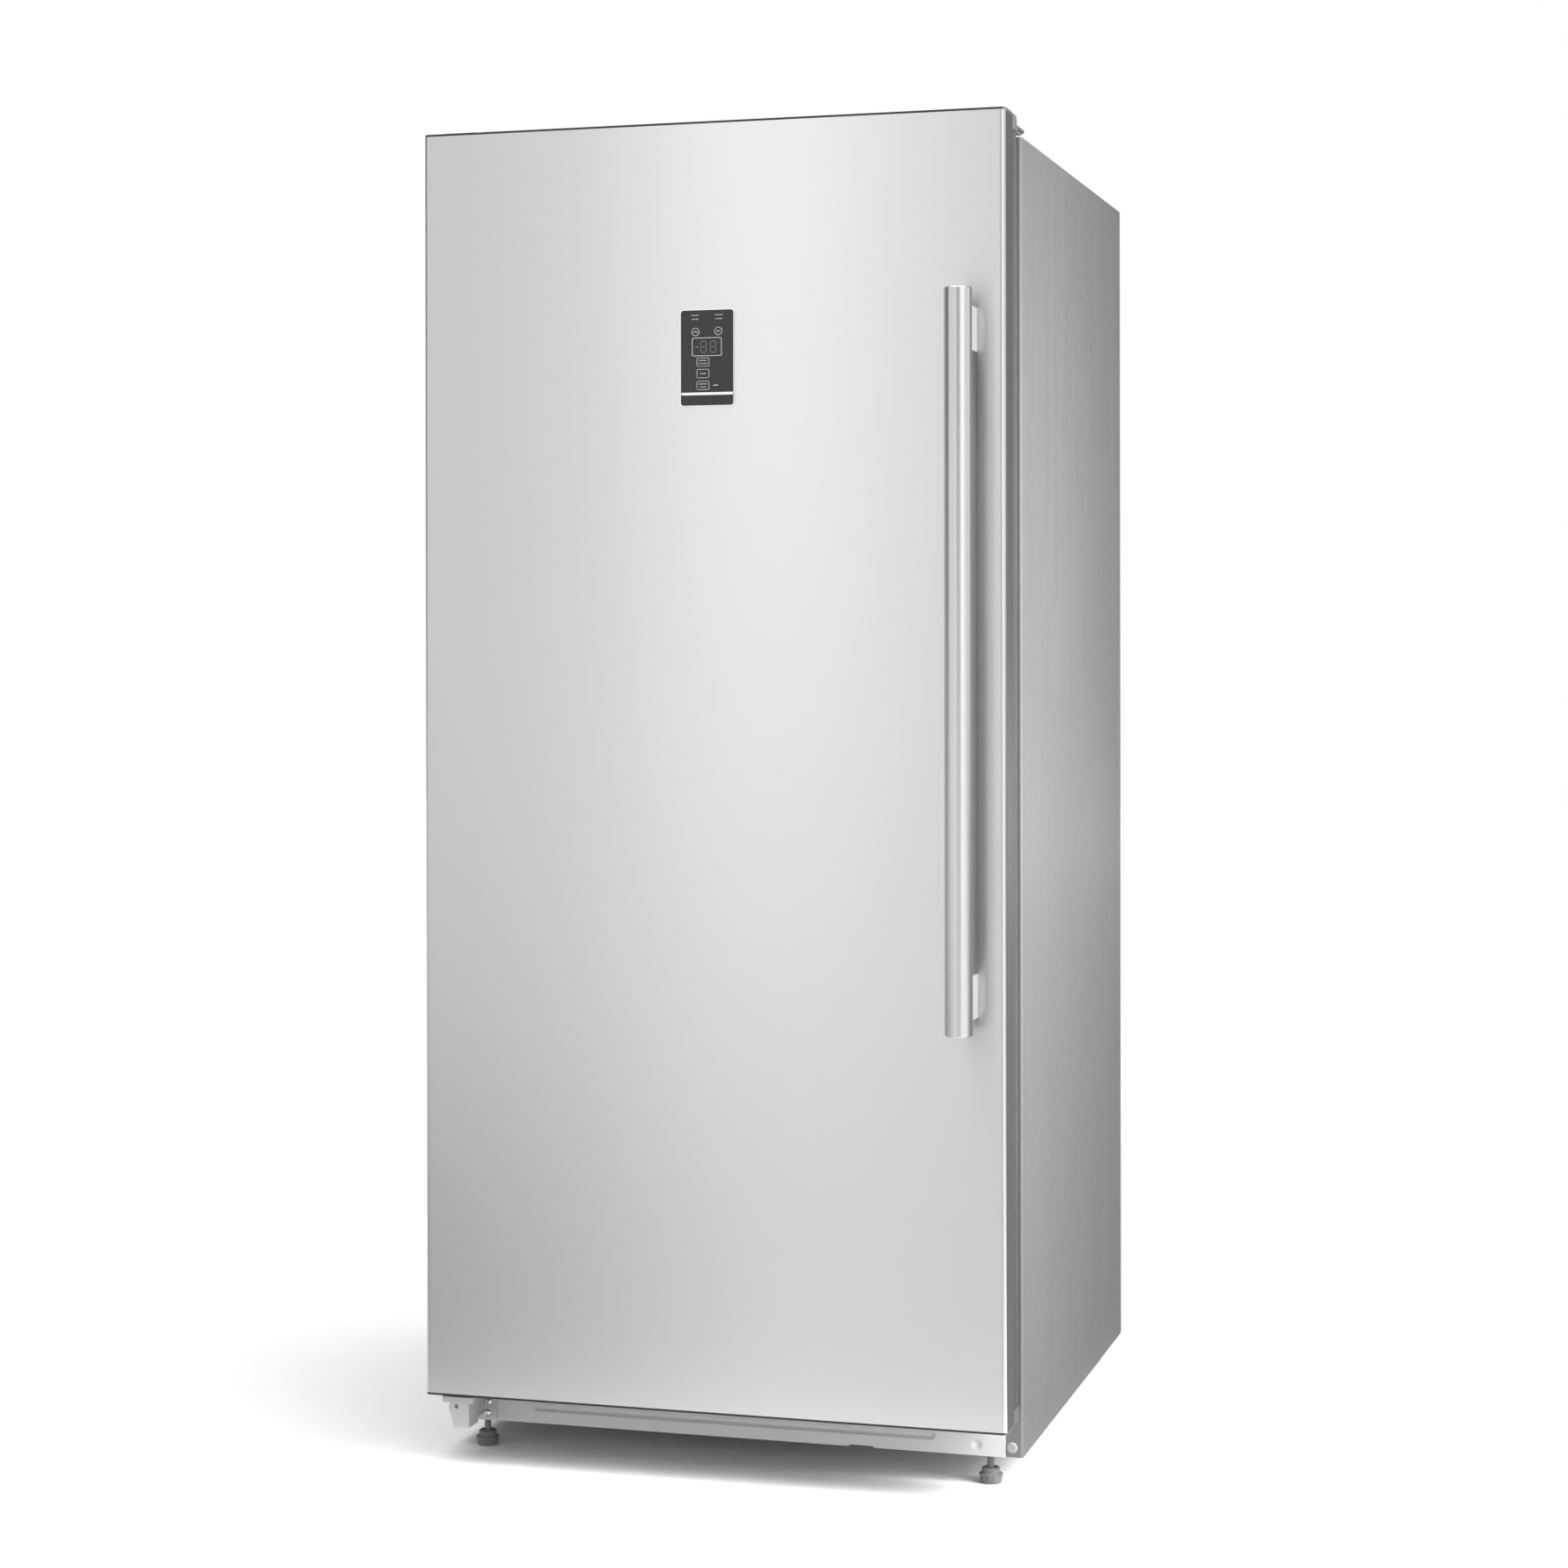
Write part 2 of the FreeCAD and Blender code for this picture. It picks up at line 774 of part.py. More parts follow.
def glass_shelves():
    members = [box(f"glass_{number}", ("-shelf_half", "shelf_half"), ("shelf_front + 3", "shelf_rear"),
                   (shelf_level(number), f"{shelf_level(number)} + shelf_glass"))
               for number in SHELVES]
    return keep(group("glass_shelves", members))


def shelf_trims():
    """The moulded strip that grips the front edge of each glass."""
    members = []
    back = "shelf_front + shelf_trim"
    for number in SHELVES:
        glass = shelf_level(number)
        outline = [
            ("shelf_front", f"{glass} - 5"),
            (back, f"{glass} - 5"),
            (back, glass),
            ("shelf_front + 3", glass),
            ("shelf_front + 3", f"{glass} + shelf_glass"),
            (back, f"{glass} + shelf_glass"),
            (back, f"{glass} + shelf_glass + 2"),
            ("shelf_front", f"{glass} + shelf_glass + 2"),
        ]
        members.append(prism(f"trim_{number}", "YZ", outline, ("-shelf_half", "shelf_half")))
    return keep(group("shelf_trims", members))


def side_ledges():
    """The ledges under the shelves and the runners beside the basket, on both liner walls."""
    members = []
    for side in (-1, 1):
        for number in SHELVES:
            top = shelf_level(number)
            members.append(box(f"ledge_{number}_{side + 1}", out(side, "shelf_half - 12", ROOM_HALF),
                               ("shelf_front + shelf_trim + 2", "shelf_rear"),
                               (f"{top} - ledge_height", top)))
        members.append(box(f"runner_{side + 1}", out(side, "basket_half + runner_gap", ROOM_HALF),
                           ("basket_front + 15", "basket_rear"),
                           ("runner_low", "runner_low + runner_height")))
    return keep(group("side_ledges", members))


def basket():
    """The pull-out basket, an open tub with a runner along each side."""
    body = prism("pull_out_basket", "XY", rectangle(("-basket_half", "basket_half"),
                                                    ("basket_front", "basket_rear")),
                 ("basket_low", "basket_high"))
    round_edges(body, "Z", "basket_round")
    shell(body, "basket_wall", faces(UP))
    return keep(body)


def evaporator_cover():
    """The duct panel over the evaporator, with rows of air slots."""
    body = prism("evaporator_cover", "XY", rectangle(("-duct_half", "duct_half"),
                                                     ("duct_front", ROOM_BACK)),
                 ("duct_low", "duct_high"))
    round_edges(body, "Z", "bin_round", lambda point: point.y < value("duct_front") + 1)
    shell(body, "duct_wall", faces(BACKWARD))
    for level in ("shelf_first + shelf_pitch", "shelf_first + 2 * shelf_pitch",
                  "shelf_first + 3 * shelf_pitch"):
        for row in range(DUCT_SLOT_ROWS):
            low = f"{level} + 60 + {row} * duct_slot_pitch"
            pocket(body, "XZ", rectangle(("-duct_slot_half", "duct_slot_half"),
                                         (low, f"{low} + duct_slot")),
                   ("duct_front - 1", "duct_front + duct_wall + 1"))
    return keep(body)


def evaporator():
    """A finned coil: thin upright fins on rows of straight tubes."""
    fins = []
    for index in range(FIN_COUNT):
        middle = f"-coil_half + {index} * 2 * coil_half / {FIN_COUNT - 1}"
        fins.append(box(f"fin_{index}", (f"{middle} - fin / 2", f"{middle} + fin / 2"),
                        ("coil_front", "coil_rear"), ("coil_low", "coil_high")))
    tubes = []
    for row in range(COIL_ROWS):
        for column in range(COIL_COLUMNS):
            level = f"coil_low + 20 + {row} * (coil_high - coil_low - 40) / {COIL_ROWS - 1}"
            deep = f"coil_front + 14 + {column} * (coil_rear - coil_front - 28)"
            tubes.append(rod(f"coil_tube_{row}_{column}", "coil_tube", "2 * coil_half + 24",
                             ("-coil_half - 12", deep, level), "X"))
    return keep(fuse("evaporator", fins + tubes))


def defrost_heater():
    """The straight sheathed heater under the evaporator."""
    return keep(rod("defrost_heater", "coil_tube", "2 * coil_half",
                    ("-coil_half", "(coil_front + coil_rear) / 2", "coil_low - 16"), "X"))


def lamp():
    body = prism("interior_lamp", "XY", rectangle(("-lamp_half", "lamp_half"),
                                                  ("lamp_front", "lamp_rear")),
                 (f"{ROOM_TOP} - lamp_deep", ROOM_TOP))
    round_edges(body, "Z", "cover_round")
    return keep(body)


def fan_wheel(label, radius, base, axis):
    """A hub with pitched blades, turned so that its shaft runs along an axis."""
    hub = rod(f"{label}_hub", "fan_hub", "fan_deep", ("0", "0", "0"))
    blades = []
    for index in range(BLADE_COUNT):
        blade = DOC.addObject("Part::Box", f"{label}_blade_{index}")
        blade.setExpression("Length", bind(f"{radius} - fan_hub + 3"))
        blade.setExpression("Width", bind("fan_hub * 1.6"))
        blade.setExpression("Height", bind("fin * 2"))
        spin = FreeCAD.Rotation(UP, index * 360 / BLADE_COUNT)
        pitch = FreeCAD.Rotation(FreeCAD.Vector(1, 0, 0), 28)
        middle = FreeCAD.Vector(value("fan_hub - 3"), -value("fan_hub * 0.7"), value("fan_deep") * 0.16)
        blade.Placement = FreeCAD.Placement(spin.multVec(middle), spin.multiply(pitch))
        blades.append(blade)
    wheel = fuse(f"{label}_solid", [hub] + blades)
    bore_rod = rod(f"{label}_bore", "fan_shaft + bearing_gap", "fan_deep + 2", ("0", "0", "-1"))
    return keep(place(cut(label, wheel, bore_rod), base, axis))


def fan_motor(label, base, axis):
    """A round motor whose shaft runs along +axis through the fan's hub."""
    outline = [("0", "0"), ("motor_radius", "0"), ("motor_radius", "motor_deep"),
               ("fan_shaft", "motor_deep"), ("fan_shaft", "motor_deep + 2 + fan_deep"),
               ("0", "motor_deep + 2 + fan_deep")]
    return lathe(label, outline, base, axis)


def fan_motors():
    """The two equal fan motors, one behind each wheel."""
    members = [fan_motor("evaporator_motor", ("0", "fan_y + 2 + motor_deep", "fan_z"), "-Y"),
               fan_motor("condenser_motor", ("bay_fan_x - motor_deep - 2", "bay_fan_y", "bay_fan_z"), "X")]
    return keep(group("fan_motors", members))


# ---------------------------------------------------------------- machine bay

def base_tray():
    inner = f"{HALF} - sheet - 1"
    body = prism("base_tray", "XY", rectangle((f"-({inner})", inner), ("tray_front", f"{CASE_BACK} - 6")),
                 ("tray_low", "tray_low + tray_plate"))
    pad(body, "XZ", rectangle((f"-({inner})", inner), ("tray_low", "tray_low + tray_lip")),
        ("tray_front - tray_plate", "tray_front"))
    return keep(body)


def compressor_grommets():
    """The rubber feet under the corners of the compressor's plate."""
    reach = "foot_reach - grommet_radius"
    corners = [(across, deep) for across in (-1, 1) for deep in (-1, 1)]
    members = [rod(f"grommet_{index}", "grommet_radius", "grommet_height",
                   (f"pot_x + {across} * ({reach})", f"pot_y + {deep} * ({reach})",
                    "tray_low + tray_plate"))
               for index, (across, deep) in enumerate(corners)]
    return keep(group("compressor_grommets", members))


def compressor():
    """A welded pot compressor on its square foot plate."""
    base = "tray_low + tray_plate + grommet_height"
    outline = [
        ("0", "foot_plate"),
        ("pot_radius - 18", "foot_plate"),
        ("pot_radius", "foot_plate + 16"),
        ("pot_radius", "pot_height / 2"),
        ("pot_radius + pot_flange", "pot_height / 2"),
        ("pot_radius + pot_flange", "pot_height / 2 + 4"),
        ("pot_radius", "pot_height / 2 + 4"),
        ("pot_radius - 4", "pot_height - 24"),
        ("pot_radius - 26", "pot_height - 4"),
        ("0", "pot_height"),
    ]
    pot = lathe("compressor_pot", outline, ("pot_x", "pot_y", base))
    plate = box("compressor_foot", ("pot_x - foot_reach", "pot_x + foot_reach"),
                ("pot_y - foot_reach", "pot_y + foot_reach"), (base, f"{base} + foot_plate + 1"))
    return keep(fuse("compressor", [pot, plate]))


def condenser():
    """A serpentine of tubes between two end plates."""
    tubes = []
    for row in range(RACK_ROWS):
        for column in range(RACK_COLUMNS):
            across = f"rack_left + 10 + {column} * (rack_right - rack_left - 20) / {RACK_COLUMNS - 1}"
            level = f"rack_low + 12 + {row} * (rack_high - rack_low - 24) / {RACK_ROWS - 1}"
            tubes.append(rod(f"rack_tube_{row}_{column}", "rack_tube", "2 * rack_half_y",
                             (across, "bay_fan_y - rack_half_y", level), "Y"))
    plates = [box(f"rack_plate_{index}", ("rack_left", "rack_right"), span, ("rack_low", "rack_high"))
              for index, span in enumerate((("bay_fan_y - rack_half_y", "bay_fan_y - rack_half_y + 2"),
                                            ("bay_fan_y + rack_half_y - 2", "bay_fan_y + rack_half_y")))]
    legs = [box(f"rack_leg_{index}", ("rack_left", "rack_left + 12"), span,
                ("tray_low + tray_plate", "rack_low + 2"))
            for index, span in enumerate((("bay_fan_y - rack_half_y", "bay_fan_y - rack_half_y + 2"),
                                          ("bay_fan_y + rack_half_y - 2", "bay_fan_y + rack_half_y")))]
    return keep(fuse("condenser", tubes + plates + legs))


def fan_shroud():
    """The upright plate around the condenser fan."""
    low, high = "bay_fan_x + 2", "bay_fan_x + 2 + shroud_deep"
    body = prism("fan_shroud", "XY", rectangle((low, high), ("bay_fan_y - shroud_half - 8",
                                                             "bay_fan_y + shroud_half + 8")),
                 ("tray_low + tray_plate", "bay_fan_z + shroud_half"))
    bore(body, "YZ", ("bay_fan_y", "bay_fan_z"), "bay_fan_radius + shroud_gap", (f"{low} - 1", f"{high} + 1"))
    return keep(body)


def drain_pan():
    body = prism("drain_pan", "XY", rectangle(("pan_left", "pan_right"),
                                              ("bay_fan_y - pan_half_y", "bay_fan_y + pan_half_y")),
                 ("tray_low + tray_plate", "pan_high"))
    round_edges(body, "Z", "cover_round")
    shell(body, "cover_wall", faces(UP))
    return keep(body)


def rear_grille():
    """The slotted cover over the machine bay."""
    low, high = f"{CASE_BACK} - grille_plate - 1", f"{CASE_BACK} - 1"
    body = prism("rear_grille", "XZ", rectangle(("-grille_half", "grille_half"),
                                                ("grille_low", "grille_high")), (low, high))
    for row in range(GRILLE_ROWS):
        level = f"grille_low + 45 + {row} * slot_pitch"
        for first in range(GRILLE_COLUMNS):
            left = f"-grille_half + 60 + {first} * 190"
            pocket(body, "XZ", rectangle((left, f"{left} + 150"), (level, f"{level} + slot_width")),
                   (f"{low} - 1", f"{high} + 1"))
    bore(body, "XZ", ("gland_x", "gland_z"), "gland_radius - 2", (f"{low} - 1", f"{high} + 1"))
    return keep(body)


def cord_gland():
    """The ring that a mains cord would pass through."""
    outline = [("gland_bore", "-6"), ("gland_radius - 2", "-6"), ("gland_radius - 2", "0"),
               ("gland_radius", "0"), ("gland_radius - 2", "7"), ("gland_bore", "7")]
    return keep(lathe("cord_gland", outline, ("gland_x", f"{CASE_BACK} - 1", "gland_z"), "Y"))


# ---------------------------------------------------------------- feet and rollers

def front_foot(side, label):
    """A levelling foot: stem, round collar and a many-sided skirt."""
    polygons = []
    for name, radius, level in (("sole", "sole_radius", "0"), ("skirt", "skirt_radius", "skirt_top")):
        polygon = DOC.addObject("Part::RegularPolygon", f"{label}_{name}")
        polygon.Polygon = FOOT_SIDES
        polygon.setExpression("Circumradius", bind(radius))
        polygons.append(place(polygon, ("0", "0", level)))
    skirt = DOC.addObject("Part::Loft", f"{label}_facets")
    skirt.Sections = polygons
    skirt.Solid = True
    skirt.Ruled = True
    outline = [
        ("0", "1"),
        ("sole_radius - 3", "1"),
        ("skirt_radius * 0.96", "skirt_top"),
        ("collar_radius", "collar_low"),
        ("collar_radius", "collar_top - 1.5"),
        ("collar_radius - 1.5", "collar_top"),
        ("stem_radius + 2.5", "collar_top"),
        ("stem_radius", "collar_top - 2"),
        ("stem_radius", "stem_top - 1"),
        ("stem_radius - 1", "stem_top"),
        ("0", "stem_top"),
    ]
    turned = lathe(f"{label}_turned", outline, ("0", "0", "0"))
    return keep(place(fuse(label, [skirt, turned]), (f"{side} * foot_x", "foot_y", "0")))


def rear_roller(side, label):
    outline = [
        ("axle_radius + bearing_gap", "-roller_half"),
        ("hub_radius", "-roller_half"),
        ("hub_radius", "-roller_half + 2"),
        ("roller_radius - 4", "-roller_half + 2"),
        ("roller_radius - 4", "-roller_half"),
        ("roller_radius - 1", "-roller_half"),
        ("roller_radius", "-roller_half + 1"),
        ("roller_radius", "roller_half - 1"),
        ("roller_radius - 1", "roller_half"),
        ("roller_radius - 4", "roller_half"),
        ("roller_radius - 4", "roller_half - 2"),
        ("hub_radius", "roller_half - 2"),
        ("hub_radius", "roller_half"),
        ("axle_radius + bearing_gap", "roller_half"),
    ]
    return keep(lathe(label, outline, (f"{side} * roller_x", "roller_y", "roller_radius"), "X"))


def roller_brackets():
    members = []
    for side in (-1, 1):
        body = new_body(f"roller_bracket_{side + 1}")
        middle = f"{side} * roller_x"
        deep = ("roller_y - bracket_half", "roller_y + bracket_half")
        pad(body, "XZ", rectangle((f"{middle} - cheek_half", f"{middle} + cheek_half"),
                                  ("tray_low - bracket_sheet", "tray_low")), deep)
        for cheek in (-1, 1):
            outer = f"{middle} + {cheek} * cheek_half"
            inner = f"{middle} + {cheek} * (cheek_half - bracket_sheet)"
            pad(body, "XZ", rectangle((inner, outer), ("bracket_low", "tray_low")), deep)
        bore(body, "YZ", ("roller_y", "roller_radius"), "axle_radius",
             (f"{middle} - cheek_half - 1", f"{middle} + cheek_half + 1"))
        members.append(body)
    return keep(group("roller_brackets", members))


def roller_axles():
    members = []
    for side in (-1, 1):
        outline = [("0", "-cheek_half - 2"), ("axle_radius", "-cheek_half - 2"),
                   ("axle_radius", "cheek_half + 2"), ("0", "cheek_half + 2")]
        members.append(lathe(f"roller_axle_{side + 1}", outline,
                             (f"{side} * roller_x", "roller_y", "roller_radius"), "X"))
    return keep(group("roller_axles", members))


# ---------------------------------------------------------------- hinges

def top_hinge_bracket():
    """A joggled steel strap: screwed on the case top, it reaches forward above the door."""
    outline = [
        ("top_arm_front", "top_arm_low"),
        ("top_riser", "top_arm_low"),
        ("top_riser", "case_top"),
        ("top_base_rear", "case_top"),
        ("top_base_rear", "case_top + plate_thick"),
        ("top_riser + plate_thick", "case_top + plate_thick"),
        ("top_riser + plate_thick", "top_arm_low + plate_thick"),
        ("top_arm_front", "top_arm_low + plate_thick"),
    ]
    body = prism("top_hinge_bracket", "YZ", outline, ("top_arm_left", "top_arm_right"))
    round_edges(body, "Z", "top_arm_round", lambda point: near(point.y, "top_arm_front"))
    bore(body, "XY", ("pivot_x", "pivot_y"), "pin_radius",
         ("top_arm_low - 1", "top_arm_low + plate_thick + 1"))
    for across, deep in TOP_SCREWS:
        bore(body, "XY", (across, deep), "screw_radius", ("case_top - 1", "case_top + plate_thick + 1"))
    return keep(body)


TOP_SCREWS = [("top_arm_left + 16", "top_base_rear - 16"), ("top_arm_right - 16", "top_base_rear - 16"),
              ("(top_arm_left + top_arm_right) / 2", "top_riser + 24")]


def screw_outline(grip):
    """A pan-head screw along +Z whose head rests at height 0 and whose shank is grip long."""
    return [("0", f"-({grip})"), ("screw_radius", f"-({grip})"), ("screw_radius", "0"),
            ("screw_head", "0"), ("screw_head", "screw_height * 0.4"),
            ("screw_head * 0.62", "screw_height"), ("0", "screw_height")]


def top_hinge_cover():
    """The plastic cover over the strap's base, open below and slotted for the arm."""
    outline = [
        ("cover_front", "case_top"),
        ("cover_rear", "case_top"),
        ("cover_rear", "cover_top - 14"),
        ("cover_rear - 14", "cover_top"),
        ("cover_front", "cover_top"),
    ]
    body = prism("top_hinge_cover", "YZ", outline, ("cover_left", "cover_right"))
    round_edges(body, "Z", "cover_round", lambda point: point.y > value("cover_rear") - 1)
    shell(body, "cover_wall", faces(DOWN))
    pocket(body, "XY", rectangle(("top_arm_left - 0.5", "top_arm_right + 0.5"),
                                 ("cover_front - 1", "cover_front + cover_wall + 1")),
           ("top_arm_low - 1", "top_arm_low + plate_thick + 1"))
    return keep(body)


def door_switch():
    """The reed switch that senses the magnet in the door's top cap."""
    return keep(box("door_reed_switch", ("top_arm_right + 4", "cover_right - 4"),
                    ("cover_front + 4", "cover_front + 40"), ("case_top", "case_top + 10")))


def bottom_hinge_bracket():
    """A formed bracket: a lipped arm under the door, a bevelled strut and a screwed plate."""
    plate_face = "case_front - beam_sheet"
    body = prism("bottom_hinge_bracket", "XY", rectangle(("arm_left", "arm_right"),
                                                         ("arm_front", plate_face)),
                 ("arm_low", "arm_top"))
    round_edges(body, "Z", "arm_round", lambda point: near(point.y, "arm_front"))
    pocket(body, "XY", rectangle(("arm_left + strut_wall", "arm_right - strut_wall"),
                                 ("arm_front + strut_wall", plate_face)),
           ("arm_low", "arm_top - strut_wall"))
    strut = [("bevel_left", "arm_top - strut_wall"), ("bevel_left", "bevel_top"),
             ("strut_left", "strut_low + 8"), ("strut_left", "strut_low"),
             ("strut_right", "strut_low"), ("strut_right", "arm_top - strut_wall")]
    pad(body, "XZ", strut, ("strut_front", plate_face))
    waist = [("strut_right + 1", "waist_front - 4"), ("strut_right", "waist_front - 4"),
             ("strut_waist", "waist_front + 12"), ("strut_waist", plate_face),
             ("strut_right + 1", plate_face)]
    pocket(body, "XY", waist, ("strut_low - 1", "arm_low"))
    pad(body, "XZ", rectangle(("arm_left + 6", "hinge_plate_right"), ("hinge_plate_low", "arm_top")),
        (f"{plate_face} - hinge_plate", plate_face))
    round_edges(body, "Y", "hinge_plate_round", lambda point: near(point.z, "hinge_plate_low")
                and point.y > value("strut_front") + 20)
    bore(body, "XZ", ("strut_left + 4.5", "arm_low - 4.5"), "strut_hole",
         ("strut_front - 1", "strut_front + strut_wall + 2"))
    bore(body, "XY", ("pivot_x", "pivot_y"), "pin_radius", ("arm_low - 6", "arm_top + 1"))
    for across, level in BOTTOM_SCREWS:
        bore(body, "XZ", (across, level), "screw_radius",
             (f"{plate_face} - hinge_plate - 1", f"{plate_face} + 1"))
    return keep(body)


BOTTOM_SCREWS = [("hinge_screw_x", "hinge_screw_high"), ("hinge_screw_x - 1.5", "hinge_screw_low")]


def hinge_screws():
    """Three screws hold the top strap and two hold the bottom bracket."""
    members = [lathe(f"top_screw_{index}", screw_outline("plate_thick"),
                     (across, deep, "case_top + plate_thick"))
               for index, (across, deep) in enumerate(TOP_SCREWS)]
    members += [lathe(f"bottom_screw_{index}", screw_outline("hinge_plate"),
                      (across, "case_front - beam_sheet - hinge_plate", level), "-Y")
                for index, (across, level) in enumerate(BOTTOM_SCREWS)]
    return keep(group("hinge_screws", members))


def hinge_pins():
    """The two pins that the door turns on, each fixed in its bracket."""
    upper = [("0", "-pin_depth"), ("pin_radius - 0.5", "-pin_depth"), ("pin_radius", "-pin_depth + 1"),
             ("pin_radius", "top_arm_low + plate_thick - door_top"),
             ("0", "top_arm_low + plate_thick - door_top")]
    lower = [("0", "arm_low - 6 - door_low"), ("pin_radius", "arm_low - 6 - door_low"),
             ("pin_radius", "pin_depth - 1"), ("pin_radius - 0.5", "pin_depth"), ("0", "pin_depth")]
    members = [lathe("upper_pin", upper, ("pivot_x", "pivot_y", "door_top")),
               lathe("lower_pin", lower, ("pivot_x", "pivot_y", "door_low"))]
    return keep(group("hinge_pins", members))


def hinge_bushes():
    """The nylon bushes in the door's caps; the lower one has a thrust collar under the door."""
    inner, collar = "pin_radius + bush_gap", "bush_radius + 3"
    upper = [(inner, "-bush_depth"), ("bush_radius", "-bush_depth"), ("bush_radius", "0"), (inner, "0")]
    base = "arm_top + collar_gap - door_low"
    lower = [(inner, base), (collar, base), (collar, "0"), ("bush_radius", "0"),
             ("bush_radius", "bush_depth"), (inner, "bush_depth")]
    members = [lathe("upper_bush", upper, ("pivot_x", "pivot_y", "door_top")),
               lathe("lower_bush", lower, ("pivot_x", "pivot_y", "door_low"))]
    return keep(group("hinge_bushes", members))


# ---------------------------------------------------------------- door

def door_skin():
    """The brushed front sheet, folded back at both sides, with a window for the controls."""
    rear = SKIN_BACK
    inner, lip = f"{HALF} - sheet", f"{HALF} - skin_lip"
    outline = [
        (f"-({HALF})", "door_front"),
        (HALF, "door_front"),
        (HALF, rear),
        (lip, rear),
        (lip, f"{rear} - sheet"),
        (inner, f"{rear} - sheet"),
        (inner, "door_front + sheet"),
        (f"-({inner})", "door_front + sheet"),
        (f"-({inner})", f"{rear} - sheet"),
        (f"-({lip})", f"{rear} - sheet"),
        (f"-({lip})", rear),
        (f"-({HALF})", rear),
    ]
    body = prism("door_skin", "XY", outline, ("door_low + cap_edge", "door_top - cap_edge"))
    round_edges(body, "Z", "skin_bend", lambda point: near(point.y, "door_front"))
    round_edges(body, "Z", "skin_bend - sheet", lambda point: near(point.y, "door_front + sheet"))
    pocket(body, "XZ", rectangle(("panel_left + window_inset", "panel_right - window_inset"),
                                 ("panel_low + window_inset", "panel_high - window_inset")),
           ("door_front - 1", "door_front + sheet + 1"))
    for level in POST_LEVELS:
        bore(body, "XZ", ("bar_x", level), "stud_radius", ("door_front - 1", "door_front + sheet + 1"))
    return keep(body)


POST_LEVELS = ["post_low + post_tall / 2", "post_high + post_tall / 2"]


def cap_levels(top):
    """A function that gives a height measured inwards from the door's top or bottom edge."""
    return (lambda inwards: f"door_top - ({inwards})") if top else (lambda inwards: f"door_low + {inwards}")


def end_cap(label, top):
    """A plastic end of the door: a thin edge over the skin, a plug inside it and a rear step."""
    level = cap_levels(top)
    edge = (level("0"), level("cap_edge"))
    deep = (level("cap_edge"), level("cap_height"))
    if top:
        edge, deep = edge[::-1], deep[::-1]
    body = prism(label, "XY", rectangle((f"-({HALF})", HALF), ("door_front", SKIN_BACK)), edge)
    round_edges(body, "Z", "skin_bend", lambda point: near(point.y, "door_front"))
    side = f"{HALF} - cap_inset"
    pad(body, "XY", rectangle((f"-({side})", side), (SKIN_BACK, "door_rear + 2")), (edge[0], edge[1]))
    plug = f"{HALF} - skin_bend - 1"
    pad(body, "XY", rectangle((f"-({plug})", plug), ("door_front + skin_bend + 1",
                                                     f"{SKIN_BACK} - sheet - 0.2")), deep)
    neck = f"{HALF} - skin_lip - 0.5"
    pad(body, "XY", rectangle((f"-({neck})", neck), (f"{SKIN_BACK} - sheet - 0.2", SKIN_BACK)), deep)
    pad(body, "XY", rectangle((f"-({side})", side), (SKIN_BACK, "door_rear + 2")), deep)
    return body


def door_top_cap():
    """The top cap, with a hollow lip that reaches back over the case's front edge."""
    body = end_cap("door_top_cap", True)
    low = "case_top + lip_clear"
    lip = [("door_rear + 1", low), ("case_front + 4", low), ("lip_rear", f"{low} + lip_thick - 3"),
           ("lip_rear", f"{low} + lip_thick"), ("door_rear + 1", f"{low} + lip_thick")]
    end = f"{HALF} - cap_inset"
    pad(body, "YZ", lip, ("lip_left", end))
    round_edges(body, "X", "skin_bend", lambda point: near(point.z, "door_top")
                and near(point.y, "door_rear + 2"))
    hollow = rectangle(("door_rear + 7", "lip_rear - 5"), (f"{low} + 2.4", f"{low} + lip_thick - 2"))
    pocket(body, "YZ", hollow, (f"{end} - lip_hollow", end))
    for rib in range(CAP_RIBS):
        start = f"door_rear + 14 + {rib} * 8"
        pad(body, "YZ", rectangle((start, f"{start} + 1.6"), (f"{low} + 2", f"{low} + lip_thick - 1.6")),
            (f"{end} - lip_hollow", f"{end} - 1"))
    bore(body, "XY", ("pivot_x", "pivot_y"), "bush_radius", ("door_top - bush_depth", "door_top + 1"))
    return keep(body)


def door_bottom_cap():
    body = end_cap("door_bottom_cap", False)
    round_edges(body, "X", "cap_edge", lambda point: near(point.z, "door_low")
                and near(point.y, "door_rear + 2"))
    bore(body, "XY", ("pivot_x", "pivot_y"), "bush_radius", ("door_low - 1", "door_low + bush_depth"))
    return keep(body)


def door_foam():
    """The foam between the skin and the door liner, with a recess for the display housing."""
    inner = f"{HALF} - sheet"
    tall = ("door_low + cap_height", "door_top - cap_height")
    body = prism("door_foam", "XY", rectangle((f"-({inner})", inner),
                                              ("door_front + sheet", f"{SKIN_BACK} - sheet")), tall)
    round_edges(body, "Z", "skin_bend - sheet", lambda point: near(point.y, "door_front + sheet"))
    neck = f"{HALF} - skin_lip - 1"
    inside = ("door_low + cap_height + liner_wall", "door_top - cap_height - liner_wall")
    pad(body, "XY", rectangle((f"-({neck})", neck), (f"{SKIN_BACK} - sheet",
                                                     "door_rear - liner_wall")), inside)
    pocket(body, "XZ", rectangle(("panel_left + window_inset", "panel_right - window_inset"),
                                 ("panel_low + window_inset", "panel_high - window_inset")),
           ("door_front + sheet", "door_front + sheet + housing_depth"))
    for level in POST_LEVELS:
        bore(body, "XZ", ("bar_x", level), "stud_radius + 5",
             ("door_front + sheet", "door_front + sheet + stud_length / 2"))
    return keep(body)


